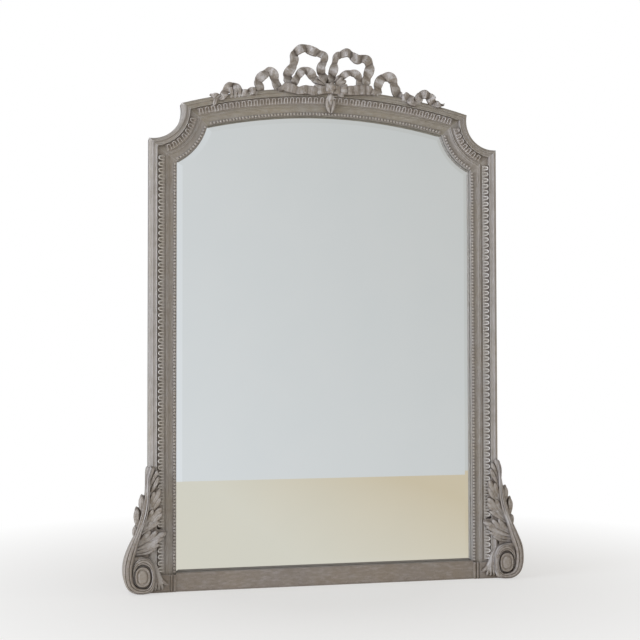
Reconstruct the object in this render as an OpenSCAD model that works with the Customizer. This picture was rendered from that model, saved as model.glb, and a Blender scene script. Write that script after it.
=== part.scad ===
// Overmantel mirror with a ribbon-bow crest and acanthus scroll consoles.
// The wall side faces +Y, the front faces -Y and the underside is at z = 0.

/* [Overall] */
// Width of the frame without its consoles
frame_w = 988; // [940:4:1060]
// Height of the square shoulders above the base
shoulder_z = 1220; // [1160:5:1280]
// Height of the crown of the arched top rail
arch_top_z = 1374; // [1365:1:1390]
// Radius of the arched top rail
arch_r = 1500; // [1400:20:1600]
// Radius of the scooped corners
notch_r = 80.5; // [76:0.5:90]
// How far the centre of each scoop lies outside the frame's side
notch_out = -8; // [-12:1:4]

/* [Moulding] */
// Width of the moulding from its outer edge to the glass
mould_w = 75; // [74:1:80]
// Height of the moulding above the pine carcass
mould_h = 26; // [24:1:28]
// Radius of the rounded outer arris
arris_r = 11; // [8:1:12]
// Distance between two tongues
tongue_pitch = 17; // [15:0.5:20]
// Distance between two pearls
pearl_pitch = 9; // [8.5:0.5:11]
// Radius of a pearl
pearl_r = 4; // [3:0.1:4.2]

/* [Carcass] */
// Thickness of the pine carcass
carcass_t = 24; // [20:1:28]
// Depth of the rebate that holds the back boards
board_rebate = 12; // [10:1:14]
// Thickness of the mirror plate
glass_t = 5; // [4:0.5:6]
// Visible and hidden width of the bevel
bevel_w = 25; // [20:1:30]
// Depth that the bevel takes off the edge
bevel_d = 2; // [1:0.25:2.5]

/* [Base] */
// Height of the plain base rail
rail_h = 50; // [46:1:56]
// Height of the end blocks
block_h = 46; // [42:1:50]

/* [Ribbon] */
// Thickness of the carved ribbon
ribbon_t = 9; // [7:1:12]
// How far the ribbon's folds swing forwards and backwards
fold_depth = 6; // [3:0.5:8]

/* [Hangers] */
// Wire radius of the hanging rings
ring_wire_r = 2; // [1.75:0.25:2.5]
// Height of the ring axis above the base
ring_z = 1060; // [950:10:1100]

/* [Hidden] */
$fn = 64;
half_w = frame_w / 2;
sight_x = half_w - mould_w;
arch_cz = arch_top_z - arch_r;
arch_in_r = arch_r - mould_w;
notch_x = half_w + notch_out;
notch_z = shoulder_z + sqrt(notch_r * notch_r - notch_out * notch_out);
notch_in_r = notch_r + mould_w;
front_y = -carcass_t - mould_h;

rebate_x = 10;
board_lap = 22;
glass_lap = 8;
lap_h = 62;
bottom_rail_h = rail_h - rebate_x;
board_step = 12;
silver_t = 0.5;

lip_w = 11.5;
band_w = 21;
tongue_w0 = 24;
tongue_w1 = 42;
tongue_mid = (tongue_w0 + tongue_w1) / 2;
fillet_bead_w = 48;
bead_r = 1.5;
tongue_bed = 15;
tongue_t = 4;
pearl_w = 70;
pearl_bed = 12;
pearl_strip_t = 1.5;
pearl_strip_w = 8.8;
pearl_sink = 0.5;

console_y = -66;
eye_groove = 8;

paint = "#97908a";
paint_light = "#b9b4b1";
paint_dark = "#857b74";
pine = "#c2a377";

// Points along a smooth curve through the rows of p, whose columns may hold any sizes
function curve_at(p, s) =
    let (n = len(p) - 1, i = min(floor(s), n - 1), t = s - i)
    let (a = p[max(i - 1, 0)], b = p[i], c = p[i + 1], d = p[min(i + 2, n)])
    0.5 * (2 * b + (c - a) * t + (2 * a - 5 * b + 4 * c - d) * t * t + (3 * b - a - 3 * c + d) * t * t * t);
function curve(p, steps) = [for (i = [0:steps]) curve_at(p, i * (len(p) - 1) / steps)];
function unit(v) = v / norm(v);

// Where the side moulding meets the scoop, w inside the outer edge
function side_mitre(w) =
    [half_w - w, notch_z - sqrt(pow(notch_r + w, 2) - pow(notch_out + w, 2))];
// Where the scoop meets the arch, w inside the outer edge
function arch_mitre(w) =
    let (r1 = notch_r + w, r2 = arch_r - w, dz = arch_cz - notch_z, d = norm([notch_x, dz]))
    let (a = (r1 * r1 - r2 * r2 + d * d) / (2 * d), h = sqrt(r1 * r1 - a * a))
    let (u = [-notch_x, dz] / d)
    [notch_x + a * u[0] + h * u[1], notch_z + a * u[1] - h * u[0]];
mitre_steps = [for (i = [0:4]) mould_w * i / 4];

// The front view of the sight opening, grown by e
module opening(e) {
    difference() {
        intersection() {
            translate([-sight_x - e, rail_h - e]) square([2 * (sight_x + e), arch_top_z]);
            translate([0, arch_cz]) circle(arch_in_r + e, $fn = 360);
        }
        for (s = [-1, 1])
            translate([s * notch_x, notch_z]) circle(notch_in_r - e, $fn = 180);
    }
}

// The front view of the whole frame
module outline() {
    difference() {
        intersection() {
            translate([-half_w, 0]) square([2 * half_w, arch_top_z + 10]);
            translate([0, arch_cz]) circle(arch_r, $fn = 360);
        }
        for (s = [-1, 1])
            translate([s * notch_x, notch_z]) circle(notch_r, $fn = 180);
    }
}

// A plate with the front view of its children between the depths y0 and y1, y1 towards the wall
module slab(y0, y1) {
    translate([0, y1, 0]) rotate([90, 0, 0]) linear_extrude(y1 - y0) children();
}

module left() {
    mirror([1, 0, 0]) children();
}

// Pine carcass

module stile() {
    lap_t = carcass_t / 2 + 1;
    difference() {
        slab(-carcass_t, 0) intersection() {
            outline();
            translate([sight_x + rebate_x, 0]) square([mould_w, shoulder_z]);
        }
        translate([sight_x, -board_rebate, bottom_rail_h - board_step])
            cube([board_lap, carcass_t, shoulder_z]);
        translate([sight_x, -carcass_t - 1, shoulder_z - lap_h]) cube([2 * mould_w, lap_t, lap_h + 1]);
        translate([sight_x, -carcass_t - 1, -1]) cube([2 * mould_w, lap_t, bottom_rail_h + 1]);
    }
}

module back_stile_left() {
    color(pine) left() stile();
}

module back_stile_right() {
    color(pine) stile();
}

module back_rail_bottom() {
    color(pine) difference() {
        slab(-carcass_t, 0) translate([-half_w, 0]) square([2 * half_w, bottom_rail_h]);
        for (s = [-1, 1])
            translate([s * (half_w + sight_x + rebate_x) / 2, 0, bottom_rail_h / 2])
                cube([half_w - sight_x - rebate_x, carcass_t, bottom_rail_h + 2], center = true);
        translate([-sight_x - board_lap, -board_rebate, bottom_rail_h - board_step])
            cube([2 * (sight_x + board_lap), carcass_t, 2 * board_step]);
    }
}

module back_rail_top() {
    color(pine) difference() {
        slab(-carcass_t, 0) difference() {
            outline();
            opening(rebate_x);
            translate([-half_w - 1, -1]) square([frame_w + 2, shoulder_z - lap_h + 1]);
        }
        slab(-board_rebate, 1) opening(board_lap);
        for (s = [-1, 1])
            translate([s * (half_w + sight_x + rebate_x) / 2, 0, shoulder_z - lap_h / 2 - 1])
                cube([half_w - sight_x - rebate_x, carcass_t, lap_h + 2], center = true);
    }
}

module wood_screw(length) {
    rotate([90, 0, 0]) {
        cylinder(h = 3, r1 = 4, r2 = 2, $fn = 32);
        cylinder(h = length, r = 2, $fn = 32);
    }
}

module carcass_screws() {
    color("#8c8676")
        for (s = [-1, 1], z = [14, 30, shoulder_z - 46, shoulder_z - 16])
            translate([s * (half_w - 18), 0, z]) wood_screw(20);
}

// Mouldings

// Section of the moulding: distance from the outer edge and height above the carcass
function arris() = [for (a = [180:-15:90])
    [arris_r + arris_r * cos(a), mould_h - arris_r + arris_r * sin(a)]];
function cove() = [for (a = [180:15:270]) [64.5 + 12.5 * cos(a), tongue_bed + 1 + 4 * sin(a)]];
function bead(w, h) = [for (a = [180:-30:0]) [w + bead_r * cos(a), h + bead_r * sin(a)]];
function section() = concat([[0, 0]], arris(), [[lip_w, mould_h - 2.5]], bead(band_w, mould_h - 2.5),
    [[tongue_w0, tongue_bed], [fillet_bead_w - bead_r, tongue_bed]], bead(fillet_bead_w, tongue_bed + 0.5),
    cove(), [[mould_w - 1, pearl_bed], [mould_w, pearl_bed - 1], [mould_w, 0]]);

module side_run() {
    mitre = [for (w = mitre_steps) side_mitre(w)];
    intersection() {
        translate([0, 0, block_h]) linear_extrude(shoulder_z)
            polygon([for (q = section()) [half_w - q[0], -carcass_t - q[1]]]);
        slab(front_y - 1, 0)
            polygon(concat([[sight_x - 1, 0], [half_w + 1, 0], mitre[0] + [1, 0]], mitre,
                [mitre[4] - [1, 0]]));
    }
}

module notch_run() {
    far = 2 * notch_r;
    intersection() {
        translate([notch_x, 0, notch_z]) rotate([90, 0, 0])
            rotate_extrude(angle = 120, start = 165, $fn = 180)
                polygon([for (q = section()) [notch_r + q[0], carcass_t + q[1]]]);
        slab(front_y - 1, 0)
            polygon(concat([[notch_x, notch_z]], [for (w = mitre_steps) side_mitre(w)],
                [[notch_x - far, notch_z - far]], [for (i = [4:-1:0]) arch_mitre(mitre_steps[i])]));
    }
}

module side_moulding_left() {
    color(paint) left() side_run();
}

module side_moulding_right() {
    color(paint) side_run();
}

module notch_moulding_left() {
    color(paint) left() notch_run();
}

module notch_moulding_right() {
    color(paint) notch_run();
}

module arch_run() {
    edge = [for (i = [4:-1:0]) arch_mitre(mitre_steps[i])];
    above = arch_top_z + 9;
    intersection() {
        translate([0, 0, arch_cz]) rotate([90, 0, 0])
            rotate_extrude(angle = 40, start = 70, $fn = 360)
                polygon([for (q = section()) [arch_r - q[0], carcass_t + q[1]]]);
        slab(front_y - 1, 0)
            polygon(concat([[0, sight_x]], edge, [[edge[4][0], above], [-edge[4][0], above]],
                [for (i = [4:-1:0]) [-edge[i][0], edge[i][1]]]));
    }
}

module arch_moulding() {
    color(paint) arch_run();
}

// Carving cut to sit on the arch
module on_arch() {
    difference() {
        children();
        arch_run();
    }
}

// Lamb's-tongue ornament

tongue_len = tongue_w1 - tongue_w0;
tongue_half = 0.38 * tongue_pitch;
slot_half = 0.15 * tongue_pitch;
fillet_w = 3;
// One tongue's outer edge and its slot: place along the run, and distance from the closed ends
function tongue_edge() = concat([[-tongue_half, tongue_len - fillet_w]],
    [for (a = [180:-45:0]) [tongue_half * cos(a), tongue_half * (1 - sin(a))]],
    [[tongue_half, tongue_len - fillet_w]]);
function slot_edge() = concat(
    [for (a = [180:-60:0]) [slot_half * cos(a), tongue_half - slot_half * sin(a)]],
    [[slot_half, tongue_len - fillet_w - 1], [-slot_half, tongue_len - fillet_w - 1]]);

// A pierced strip of tongues whose points are placed by the row's own bend
function row_points(count, at) = concat(
    [for (i = [0:count - 1], q = tongue_edge()) at(i - (count - 1) / 2 + q[0] / tongue_pitch, q[1])],
    [at(count / 2, tongue_len - fillet_w), at(count / 2, tongue_len)],
    [for (i = [count:-1:0]) at(i - count / 2, tongue_len)],
    [at(-count / 2, tongue_len - fillet_w)],
    [for (i = [0:count - 1], q = slot_edge()) at(i - (count - 1) / 2 + q[0] / tongue_pitch, q[1])]);
function row_paths(count) =
    let (edge = len(tongue_edge()), hole = len(slot_edge()), outer = count * edge + count + 4)
    concat([[for (i = [0:outer - 1]) i]],
        [for (k = [0:count - 1]) [for (j = [0:hole - 1]) outer + k * hole + j]]);

tongue_y = -carcass_t - tongue_bed - tongue_t;

module tongue_row(count, at) {
    slab(tongue_y, tongue_y + tongue_t)
        polygon(row_points(count, at), row_paths(count));
}

side_z0 = block_h + 1;
side_z1 = side_mitre(tongue_w1)[1] - 2;
side_tongues = floor((side_z1 - side_z0) / tongue_pitch);
notch_bed_r = notch_r + tongue_w0;
notch_a0 = asin((notch_x - arch_mitre(tongue_w1)[0]) / (notch_r + tongue_w1));
notch_a1 = asin((notch_x - side_mitre(tongue_w1)[0]) / (notch_r + tongue_w1));
notch_tongues = floor((notch_a0 - notch_a1) * PI / 180 * (notch_r + tongue_mid) / tongue_pitch);
notch_mid = (notch_a0 + notch_a1) / 2;
arch_half = asin(arch_mitre(tongue_w1)[0] / (arch_r - tongue_w1));
arch_tongues = floor(2 * arch_half * PI / 180 * (arch_r - tongue_mid) / tongue_pitch);

side_at = function (t, w) [half_w - tongue_w0 - w, (side_z0 + side_z1) / 2 + t * tongue_pitch];
notch_at = function (t, w)
    let (a = notch_mid + t * tongue_pitch / (notch_r + tongue_mid) * 180 / PI, r = notch_bed_r + w)
    [notch_x - r * sin(a), notch_z - r * cos(a)];
arch_at = function (t, w)
    let (a = t * tongue_pitch / (arch_r - tongue_mid) * 180 / PI, r = arch_r - tongue_w0 - w)
    [r * sin(a), arch_cz + r * cos(a)];

module tongue_strip_left() {
    color(paint_light) left() tongue_row(side_tongues, side_at);
}

module tongue_strip_right() {
    color(paint_light) tongue_row(side_tongues, side_at);
}

module tongue_strip_notch_left() {
    color(paint_light) left() tongue_row(notch_tongues, notch_at);
}

module tongue_strip_notch_right() {
    color(paint_light) tongue_row(notch_tongues, notch_at);
}

module tongue_strip_arch() {
    color(paint_light) tongue_row(arch_tongues, arch_at);
}

// Pearl ornament

pearl_y = -carcass_t - pearl_bed;
pearl_side_z1 = side_mitre(pearl_w + 4)[1] - 3;
side_pearls = floor((pearl_side_z1 - side_z0) / pearl_pitch);
notch_pearl_r = notch_r + pearl_w;
pearl_a0 = asin((notch_x - arch_mitre(pearl_w)[0]) / notch_pearl_r);
pearl_a1 = asin((notch_x - side_mitre(pearl_w)[0]) / notch_pearl_r);
notch_pearls = floor((pearl_a0 - pearl_a1 - 3) * PI / 180 * notch_pearl_r / pearl_pitch);
arch_pearl_r = arch_r - pearl_w;
arch_pearl_half = asin(arch_mitre(pearl_w)[0] / arch_pearl_r);
arch_pearls = floor((2 * arch_pearl_half - 0.5) * PI / 180 * arch_pearl_r / pearl_pitch);

module side_pearl_run() {
    x = half_w - pearl_w;
    z0 = side_z0 + (pearl_side_z1 - side_z0 - side_pearls * pearl_pitch) / 2;
    translate([x - pearl_strip_w / 2, pearl_y - pearl_strip_t, z0])
        cube([pearl_strip_w, pearl_strip_t, side_pearls * pearl_pitch]);
    for (i = [0:side_pearls - 1])
        translate([x, pearl_y - pearl_strip_t, z0 + (i + 0.5) * pearl_pitch]) half_pearl();
}

// A pearl with its back sunk flat into the strip
module half_pearl() {
    rotate([90, 0, 0]) rotate_extrude($fn = 24) intersection() {
        circle(pearl_r, $fn = 24);
        translate([0, -pearl_sink]) square(2 * pearl_r);
    }
}

module arc_pearls(count, r, a_mid) {
    step = pearl_pitch / r * 180 / PI;
    rotate([90, 0, 0]) rotate_extrude(angle = count * step, start = a_mid - count * step / 2, $fn = 360)
        translate([r - pearl_strip_w / 2, 0]) square([pearl_strip_w, pearl_strip_t]);
    for (i = [0:count - 1])
        rotate([0, -(a_mid + (i + 0.5 - count / 2) * step), 0])
            translate([r, -pearl_strip_t, 0]) half_pearl();
}

module notch_pearl_run() {
    translate([notch_x, pearl_y, notch_z]) arc_pearls(notch_pearls, notch_pearl_r,
        270 - (pearl_a0 + pearl_a1) / 2);
}

module pearl_strip_left() {
    color(paint_light) left() side_pearl_run();
}

module pearl_strip_right() {
    color(paint_light) side_pearl_run();
}

module pearl_strip_notch_left() {
    color(paint_light) left() notch_pearl_run();
}

module pearl_strip_notch_right() {
    color(paint_light) notch_pearl_run();
}

module pearl_strip_arch() {
    color(paint_light) translate([0, pearl_y, arch_cz]) arc_pearls(arch_pearls, arch_pearl_r, 90);
}

// Base

rail_y = -42;
block_y = -46;
reed_r = 4.5;
rail_chamfer = 3;

module base_rail() {
    color(paint_dark) difference() {
        translate([-sight_x, rail_y, 0]) cube([2 * sight_x, -carcass_t - rail_y, rail_h]);
        translate([0, rail_y, rail_h]) rotate([45, 0, 0])
            cube([2 * sight_x + 2, rail_chamfer, rail_chamfer], center = true);
    }
}

module block() {
    translate([sight_x + 4 * reed_r, block_y, 0])
        cube([mould_w - 4 * reed_r, -carcass_t - block_y, block_h]);
}

module reeds() {
    linear_extrude(block_h) {
        translate([sight_x, block_y + reed_r]) square([4 * reed_r, -carcass_t - block_y - reed_r]);
        for (i = [0, 1])
            translate([sight_x + (1 + 2 * i) * reed_r, block_y + reed_r]) circle(reed_r, $fn = 32);
    }
}

module base_block_left() {
    color(paint_dark) left() block();
}

module base_block_right() {
    color(paint_dark) block();
}

module end_reeds_left() {
    color(paint) left() reeds();
}

module end_reeds_right() {
    color(paint) reeds();
}

// Glass and back

glass_y = -carcass_t + glass_t;

module bevel_wedge() {
    // distance in from the glass edge against depth behind the front face
    polygon([[-1, -1], [bevel_w, -1], [bevel_w, 0], [-1, bevel_d * (1 + 1 / bevel_w)]]);
}

module mirror_glass() {
    color("#dfe5e6") difference() {
        slab(-carcass_t, glass_y) opening(glass_lap);
        for (s = [0, 1])
            mirror([s, 0, 0]) translate([sight_x + glass_lap, -carcass_t, 0]) linear_extrude(arch_top_z)
                mirror([1, 0]) bevel_wedge();
        translate([-half_w, -carcass_t, rail_h - glass_lap]) rotate([90, 0, 90]) linear_extrude(2 * half_w)
            mirror([1, -1]) bevel_wedge();
        translate([0, -carcass_t, arch_cz]) rotate([-90, 0, 0]) rotate_extrude($fn = 360)
            translate([arch_in_r + glass_lap, 0]) mirror([1, 0]) bevel_wedge();
        for (s = [-1, 1])
            translate([s * notch_x, -carcass_t, notch_z]) rotate([-90, 0, 0]) rotate_extrude($fn = 180)
                translate([notch_in_r - glass_lap, 0]) bevel_wedge();
    }
}

module silver_coat() {
    color("#9aa0a2") slab(glass_y, glass_y + silver_t) opening(glass_lap);
}

module glass_blocks() {
    y0 = glass_y + silver_t;
    color(pine) slab(y0, -board_rebate) intersection() {
        difference() {
            opening(rebate_x);
            opening(0);
        }
        union() {
            for (z = [150, 410, 670, 930])
                translate([-half_w, z]) square([2 * half_w, 40]);
            for (x = [-280, 0, 280])
                translate([x - 20, 0]) square([40, arch_top_z]);
        }
    }
}

board_count = 4;
board_gap = 1;
nail_head_t = 1;

module board(i) {
    w = 2 * (sight_x + board_lap - 1) / board_count;
    color("#a98c63") slab(-board_rebate, -nail_head_t) intersection() {
        opening(board_lap - 1);
        translate([-sight_x - board_lap + 1 + i * w + board_gap / 2, 0]) square([w - board_gap, arch_top_z]);
    }
}

module back_board_1() {
    board(0);
}

module back_board_2() {
    board(1);
}

module back_board_3() {
    board(2);
}

module back_board_4() {
    board(3);
}

module nail() {
    rotate([90, 0, 0]) {
        cylinder(h = nail_head_t, r = 3, $fn = 24);
        cylinder(h = 18, r = 1, $fn = 24);
    }
}

module board_nails() {
    edge_x = sight_x + (rebate_x + board_lap) / 2;
    color("#6d665c") {
        for (s = [-1, 1], z = [90:150:1140])
            translate([s * edge_x, 0, z]) nail();
        for (x = [-390:130:390])
            translate([x, 0, bottom_rail_h - board_step / 2]) nail();
        for (x = [-325:130:325])
            translate([x, 0, arch_cz + sqrt(pow(arch_in_r + (rebate_x + board_lap) / 2, 2) - x * x)]) nail();
    }
}

// Carved forms

ribbon_section = [[1, 0.4], [0.6, 1], [0, 0.8], [-0.6, 1], [-1, 0.4], [-1, -0.4], [-0.6, -1], [0.6, -1],
    [1, -0.4]];
dome_section = [[1, 0], [0.9, 0.5], [0.5, 0.88], [0, 1], [-0.5, 0.88], [-0.9, 0.5], [-1, 0]];

// Sweeps a section along rows of [x, z, depth, half width, height, tilt]
module sweep(rows, shape) {
    n = len(rows);
    m = len(shape);
    points = [for (i = [0:n - 1])
        let (q = rows[i], a = rows[max(i - 1, 0)], b = rows[min(i + 1, n - 1)])
        let (t = unit([b[0] - a[0], b[1] - a[1]]), c = cos(q[5]), s = sin(q[5]))
        for (k = shape)
            let (u = k[0] * q[3], v = k[1] * q[4])
            [q[0] - t[1] * (u * c - v * s), q[2] - (u * s + v * c), q[1] + t[0] * (u * c - v * s)]];
    sides = [for (i = [0:n - 2], j = [0:m - 1])
        let (a = i * m + j, b = i * m + (j + 1) % m)
        each [[a, a + m, b], [b, a + m, b + m]]];
    caps = [for (j = [1:m - 2]) each [[0, j, j + 1], [(n - 1) * m, (n - 1) * m + j + 1, (n - 1) * m + j]]];
    polyhedron(points, concat(sides, caps));
}

// Adds folds to a plain run of [x, z, half width]; a spread above 1 sets them closer towards its end
function folded(p, steps, folds, y, lead = 0, spread = 1) = [for (i = [0:steps])
    let (s = i / steps, q = curve_at(p, s * (len(p) - 1)), a = 360 * folds * pow(s, spread) + lead)
    let (swell = 2 * abs(sin(a / 2)) - 1)
    [q[0], q[1], y - fold_depth * swell, q[2] * (1 + 0.1 * swell), ribbon_t / 2, 16 * cos(a / 2)]];

ribbon_y = -42;
tail_y = -50;
base_ribbon_y = -54;
knot_y = -52;

module bow_loop_left() {
    path = [[-116, 1371, 12], [-112, 1394, 12.5], [-113, 1412, 12], [-100, 1432, 11], [-95, 1450, 11],
        [-95, 1466, 11], [-80, 1481, 11], [-62, 1486, 11], [-45, 1478, 10.5], [-26, 1474, 10.5],
        [-10, 1465, 10], [-12, 1449, 10], [-21, 1434, 9], [-17, 1418, 9], [-7, 1401, 9], [2, 1386, 8]];
    color(paint_light) on_arch() sweep(folded(path, 48, 8, ribbon_y), ribbon_section);
}

module bow_loop_right() {
    path = [[9, 1388, 9], [12, 1412, 10], [16, 1434, 9], [21, 1452, 8], [25, 1466, 9], [39, 1473, 10],
        [56, 1479, 11], [70, 1472, 10.5], [84, 1461, 11], [99, 1465, 11.5], [114, 1460, 12], [121, 1443, 12],
        [117, 1423, 12], [110, 1400, 12], [109, 1374, 11]];
    color(paint_light) on_arch() sweep(folded(path, 48, 8, ribbon_y, 40), ribbon_section);
}

module inner_loop_left() {
    path = [[-101, 1378, 10], [-90, 1398, 10], [-76, 1418, 10], [-62, 1424, 9], [-49, 1413, 10.5],
        [-35, 1398, 11], [-15, 1387, 9]];
    color(paint_light) sweep(folded(path, 26, 4, ribbon_y - 4), ribbon_section);
}

module inner_loop_right() {
    path = [[20, 1392, 9], [38, 1408, 9.5], [55, 1420, 8.5], [74, 1421, 8.5], [88, 1410, 9], [90, 1390, 9.5],
        [84, 1370, 9]];
    color(paint_light) on_arch() sweep(folded(path, 26, 4, ribbon_y - 4, 90), ribbon_section);
}

module streamer_left() {
    path = [[-133, 1361, 10], [-144, 1377, 10.5], [-149, 1393, 10.5], [-154, 1409, 10], [-166, 1418, 9],
        [-178, 1407, 10], [-190, 1397, 11.5], [-196, 1384, 10.5], [-192, 1368, 10], [-194, 1352, 10]];
    color(paint_light) on_arch() sweep(folded(path, 30, 4, ribbon_y), ribbon_section);
}

module streamer_right() {
    path = [[145, 1359, 10], [145, 1386, 10], [149, 1403, 10], [161, 1415, 10.5], [177, 1416, 11],
        [189, 1406, 10.5], [193, 1390, 10.5], [200, 1372, 12], [214, 1358, 12]];
    color(paint_light) on_arch() sweep(folded(path, 30, 4, ribbon_y, 120), ribbon_section);
}

module streamer_tail_left() {
    path = [[-200, 1350, 10], [-214, 1357, 10.5], [-229, 1351, 9], [-243, 1351, 9], [-254, 1362, 10],
        [-266, 1369, 10], [-279, 1365, 10.5], [-289, 1351, 10], [-297, 1338, 9], [-309, 1337, 8.5],
        [-321, 1340, 6], [-331, 1343, 3.5]];
    color(paint_light) on_arch() sweep(folded(path, 40, 6, tail_y), ribbon_section);
}

module streamer_tail_right() {
    path = [[212, 1356, 11], [229, 1358, 11], [246, 1347, 9], [257, 1355, 9.5], [266, 1367, 10],
        [281, 1371, 10], [295, 1364, 10], [304, 1350, 10], [317, 1343, 9], [328, 1342, 6], [337, 1343, 4]];
    color(paint_light) on_arch() sweep(folded(path, 40, 6, tail_y, 90), ribbon_section);
}

module crest_base_ribbon() {
    path = [[-142, 1362, 9], [-124, 1370, 12], [-104, 1368, 12], [-84, 1363, 11], [-64, 1367, 12],
        [-44, 1364, 12], [-22, 1367, 11.5], [0, 1370, 11], [24, 1369, 11.5], [46, 1369, 12], [66, 1370, 13],
        [86, 1372, 13.5], [106, 1373, 13], [124, 1367, 10]];
    color(paint) on_arch() sweep(folded(path, 66, 12, base_ribbon_y, 0, 1.5), ribbon_section);
}

// A five-petalled knot: rings of a dome whose radius swells at each petal
module rosette(x, z, y, r, h, petals) {
    rings = 5;
    around = 6 * petals;
    points = concat([for (i = [0:rings - 1], j = [0:around - 1])
        let (f = i / rings, a = 360 * j / around, k = r * (1 + 0.16 * cos(petals * a)) * sqrt(1 - f * f))
        [x + k * cos(a), y - h * f * (1 - 0.15 * cos(petals * a)), z + k * sin(a)]],
        [[x, y - h, z], [x, y + h / 2, z]]);
    n = rings * around;
    polyhedron(points, concat(
        [for (i = [0:rings - 2], j = [0:around - 1])
            let (a = i * around + j, b = i * around + (j + 1) % around)
            each [[a, b, a + around], [b, b + around, a + around]]],
        [for (j = [0:around - 1])
            let (a = j, b = (j + 1) % around, c = n - around)
            each [[c + a, c + b, n], [b, a, n + 1]]]));
}

module bow_knot() {
    color(paint) on_arch() rosette(6, 1378, knot_y, 19, 14, 5);
}

// A leaf or drop laid on a plane: rows of [x, z, half width, height]
module carved_drop(path, steps, y) {
    sweep([for (i = [0:steps])
        let (q = curve_at(path, i * (len(path) - 1) / steps))
        [q[0], q[1], y, max(q[2], 0.8), max(q[3], 0.8), 0]], dome_section);
}

module knot_leaves() {
    color(paint) {
        carved_drop([[24, 1382, 6, 7], [38, 1392, 11, 10], [53, 1402, 10, 8], [66, 1408, 3, 3]], 12, knot_y);
        carved_drop([[26, 1366, 6, 6], [44, 1370, 11, 9], [60, 1366, 9, 7], [74, 1360, 3, 3]], 12,
            knot_y - 6);
        carved_drop([[-12, 1378, 6, 7], [-28, 1387, 9, 9], [-44, 1392, 7, 6], [-58, 1393, 2, 2]], 12,
            knot_y - 2);
    }
}

module crest_pendant() {
    path = [[7, 1372, 8, 14], [7, 1358, 10, 16], [7, 1344, 9, 15], [7, 1328, 11, 13], [7, 1314, 9, 9],
        [7, 1306, 2, 3]];
    color(paint) on_arch() carved_drop(path, 20, tongue_y - 0.2);
}

// Consoles

eye_x = 509;
eye_z = 47;
scroll_top = 96;
// Outer edge of the scroll from the leaf's tip down to the base
scroll_edge = curve([[495, 334], [500, 322], [502, 262], [513, 200], [529, 154], [546, 118], [557, 88],
    [561, 60], [557, 30], [543, 8], [520, 0]], 34);
// The rolled band, from the leaf's tip down and round the eye: x, z, depth of its back, half width, height
scroll_band = [[489, 322, 56, 2.5, 3], [494, 290, 57, 4, 6], [500, 246, 57, 5.5, 8], [508.5, 203, 57.5, 7, 9],
    [521, 160, 58, 8.5, 10], [535, 122, 60, 11, 11], [545, 92, 64, 12.5, 11], [548.5, 70, 65, 12.5, 10],
    [548, 48, 65, 12.5, 10], [542, 27, 65, 11.5, 10], [527, 13.5, 65, 10.5, 10], [508, 11.5, 65, 9, 9],
    [492, 22, 65, 8, 8], [488, 48, 65, 6.5, 7], [491, 72, 65, 6.5, 7], [504, 88, 65, 6, 7],
    [519, 88, 65, 5, 6], [530, 79, 65, 3, 4]];

module stadium(rx, rz) {
    for (s = [-1, 1])
        translate([eye_x, eye_z + s * (rz - rx)]) circle(rx, $fn = 48);
    translate([eye_x - rx, eye_z - rz + rx]) square([2 * rx, 2 * (rz - rx)]);
}

module console_scroll() {
    low = [for (q = scroll_edge) if (q[1] < scroll_top - 2 && q[1] > 1) q];
    difference() {
        union() {
            slab(front_y, -4) polygon(concat([[half_w, 0], [half_w, 334]], scroll_edge));
            slab(console_y, front_y) polygon(concat([[520, scroll_top], [548, scroll_top - 2]], low,
                [[520, 0], [500, 0], [487, 8], [481, 26], [481, 72], [490, 90], [505, scroll_top]]));
        }
        slab(console_y - 1, console_y + eye_groove) difference() {
            stadium(22, 31);
            stadium(17.5, 25.5);
        }
    }
    slab(console_y - 5, console_y) stadium(15.5, 23.5);
    slab(console_y - 7, console_y - 5) stadium(11, 18);
    sweep([for (q = curve(scroll_band, 56)) [q[0], q[1], -q[2], q[3], q[4], 0]], dome_section);
}

module console_scroll_left() {
    color(paint) left() console_scroll();
}

module console_scroll_right() {
    color(paint) console_scroll();
}

// Acanthus leaf: veins leave the stem and end at a lobed edge; the third column is the lobe's swelling
leaf_stem = [[548, 96], [536, 124], [521, 160], [508, 202], [500, 246], [494, 292], [487, 338]];
leaf_inner = [[522, 98, 2], [496, 106, 6], [478, 117, 7], [466, 130, 6], [470, 138, 3], [481, 141, 0],
    [464, 148, 7], [447, 160, 8], [449, 167, 7], [462, 168, 5], [474, 165, 5], [484, 168, 0], [474, 184, 6],
    [464, 194, 7], [469, 201, 4], [478, 205, 0], [466, 216, 6], [456, 228, 7], [461, 235, 4], [471, 240, 0],
    [462, 252, 4], [459, 267, 5], [464, 276, 4], [471, 283, 2], [479, 289, 0], [475, 304, 2], [474, 320, 3],
    [480, 333, 2], [486, 338.5, 1]];
leaf_outer = [[551, 96, 0], [541, 122, 1], [532, 146, 1], [530, 164, 3], [531, 181, 4], [526, 187, 0],
    [529, 204, 4], [531, 220, 5], [527, 232, 4], [518, 227, 0], [517, 240, 4], [518, 253, 5], [513, 264, 3],
    [504, 258, 0], [502, 276, 2], [503, 298, 3], [502, 314, 3], [496, 330, 3], [488, 338.5, 1]];
leaf_rows = 56;
leaf_across = [-1, -0.72, -0.45, -0.2, 0, 0.35, 0.7, 1];

// Row s of the leaf from 0 at the foot to 1 at the tip; t runs from the inner edge at -1 to the outer at 1
function leaf_vein(s, t) =
    let (rows = t < 0 ? leaf_inner : leaf_outer)
    let (c = curve_at(leaf_stem, pow(s, 1.3) * (len(leaf_stem) - 1)), e = curve_at(rows, s * (len(rows) - 1)))
    let (k = abs(t), stem_h = 9 - 2 * s, edge_h = 5)
    [c[0] + (e[0] - c[0]) * k, c[1] + (e[1] - c[1]) * k,
        edge_h + (stem_h - edge_h) * pow(1 - k, 1.6) + 2.2 * e[2] * k * (1 - 0.7 * k)];

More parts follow.
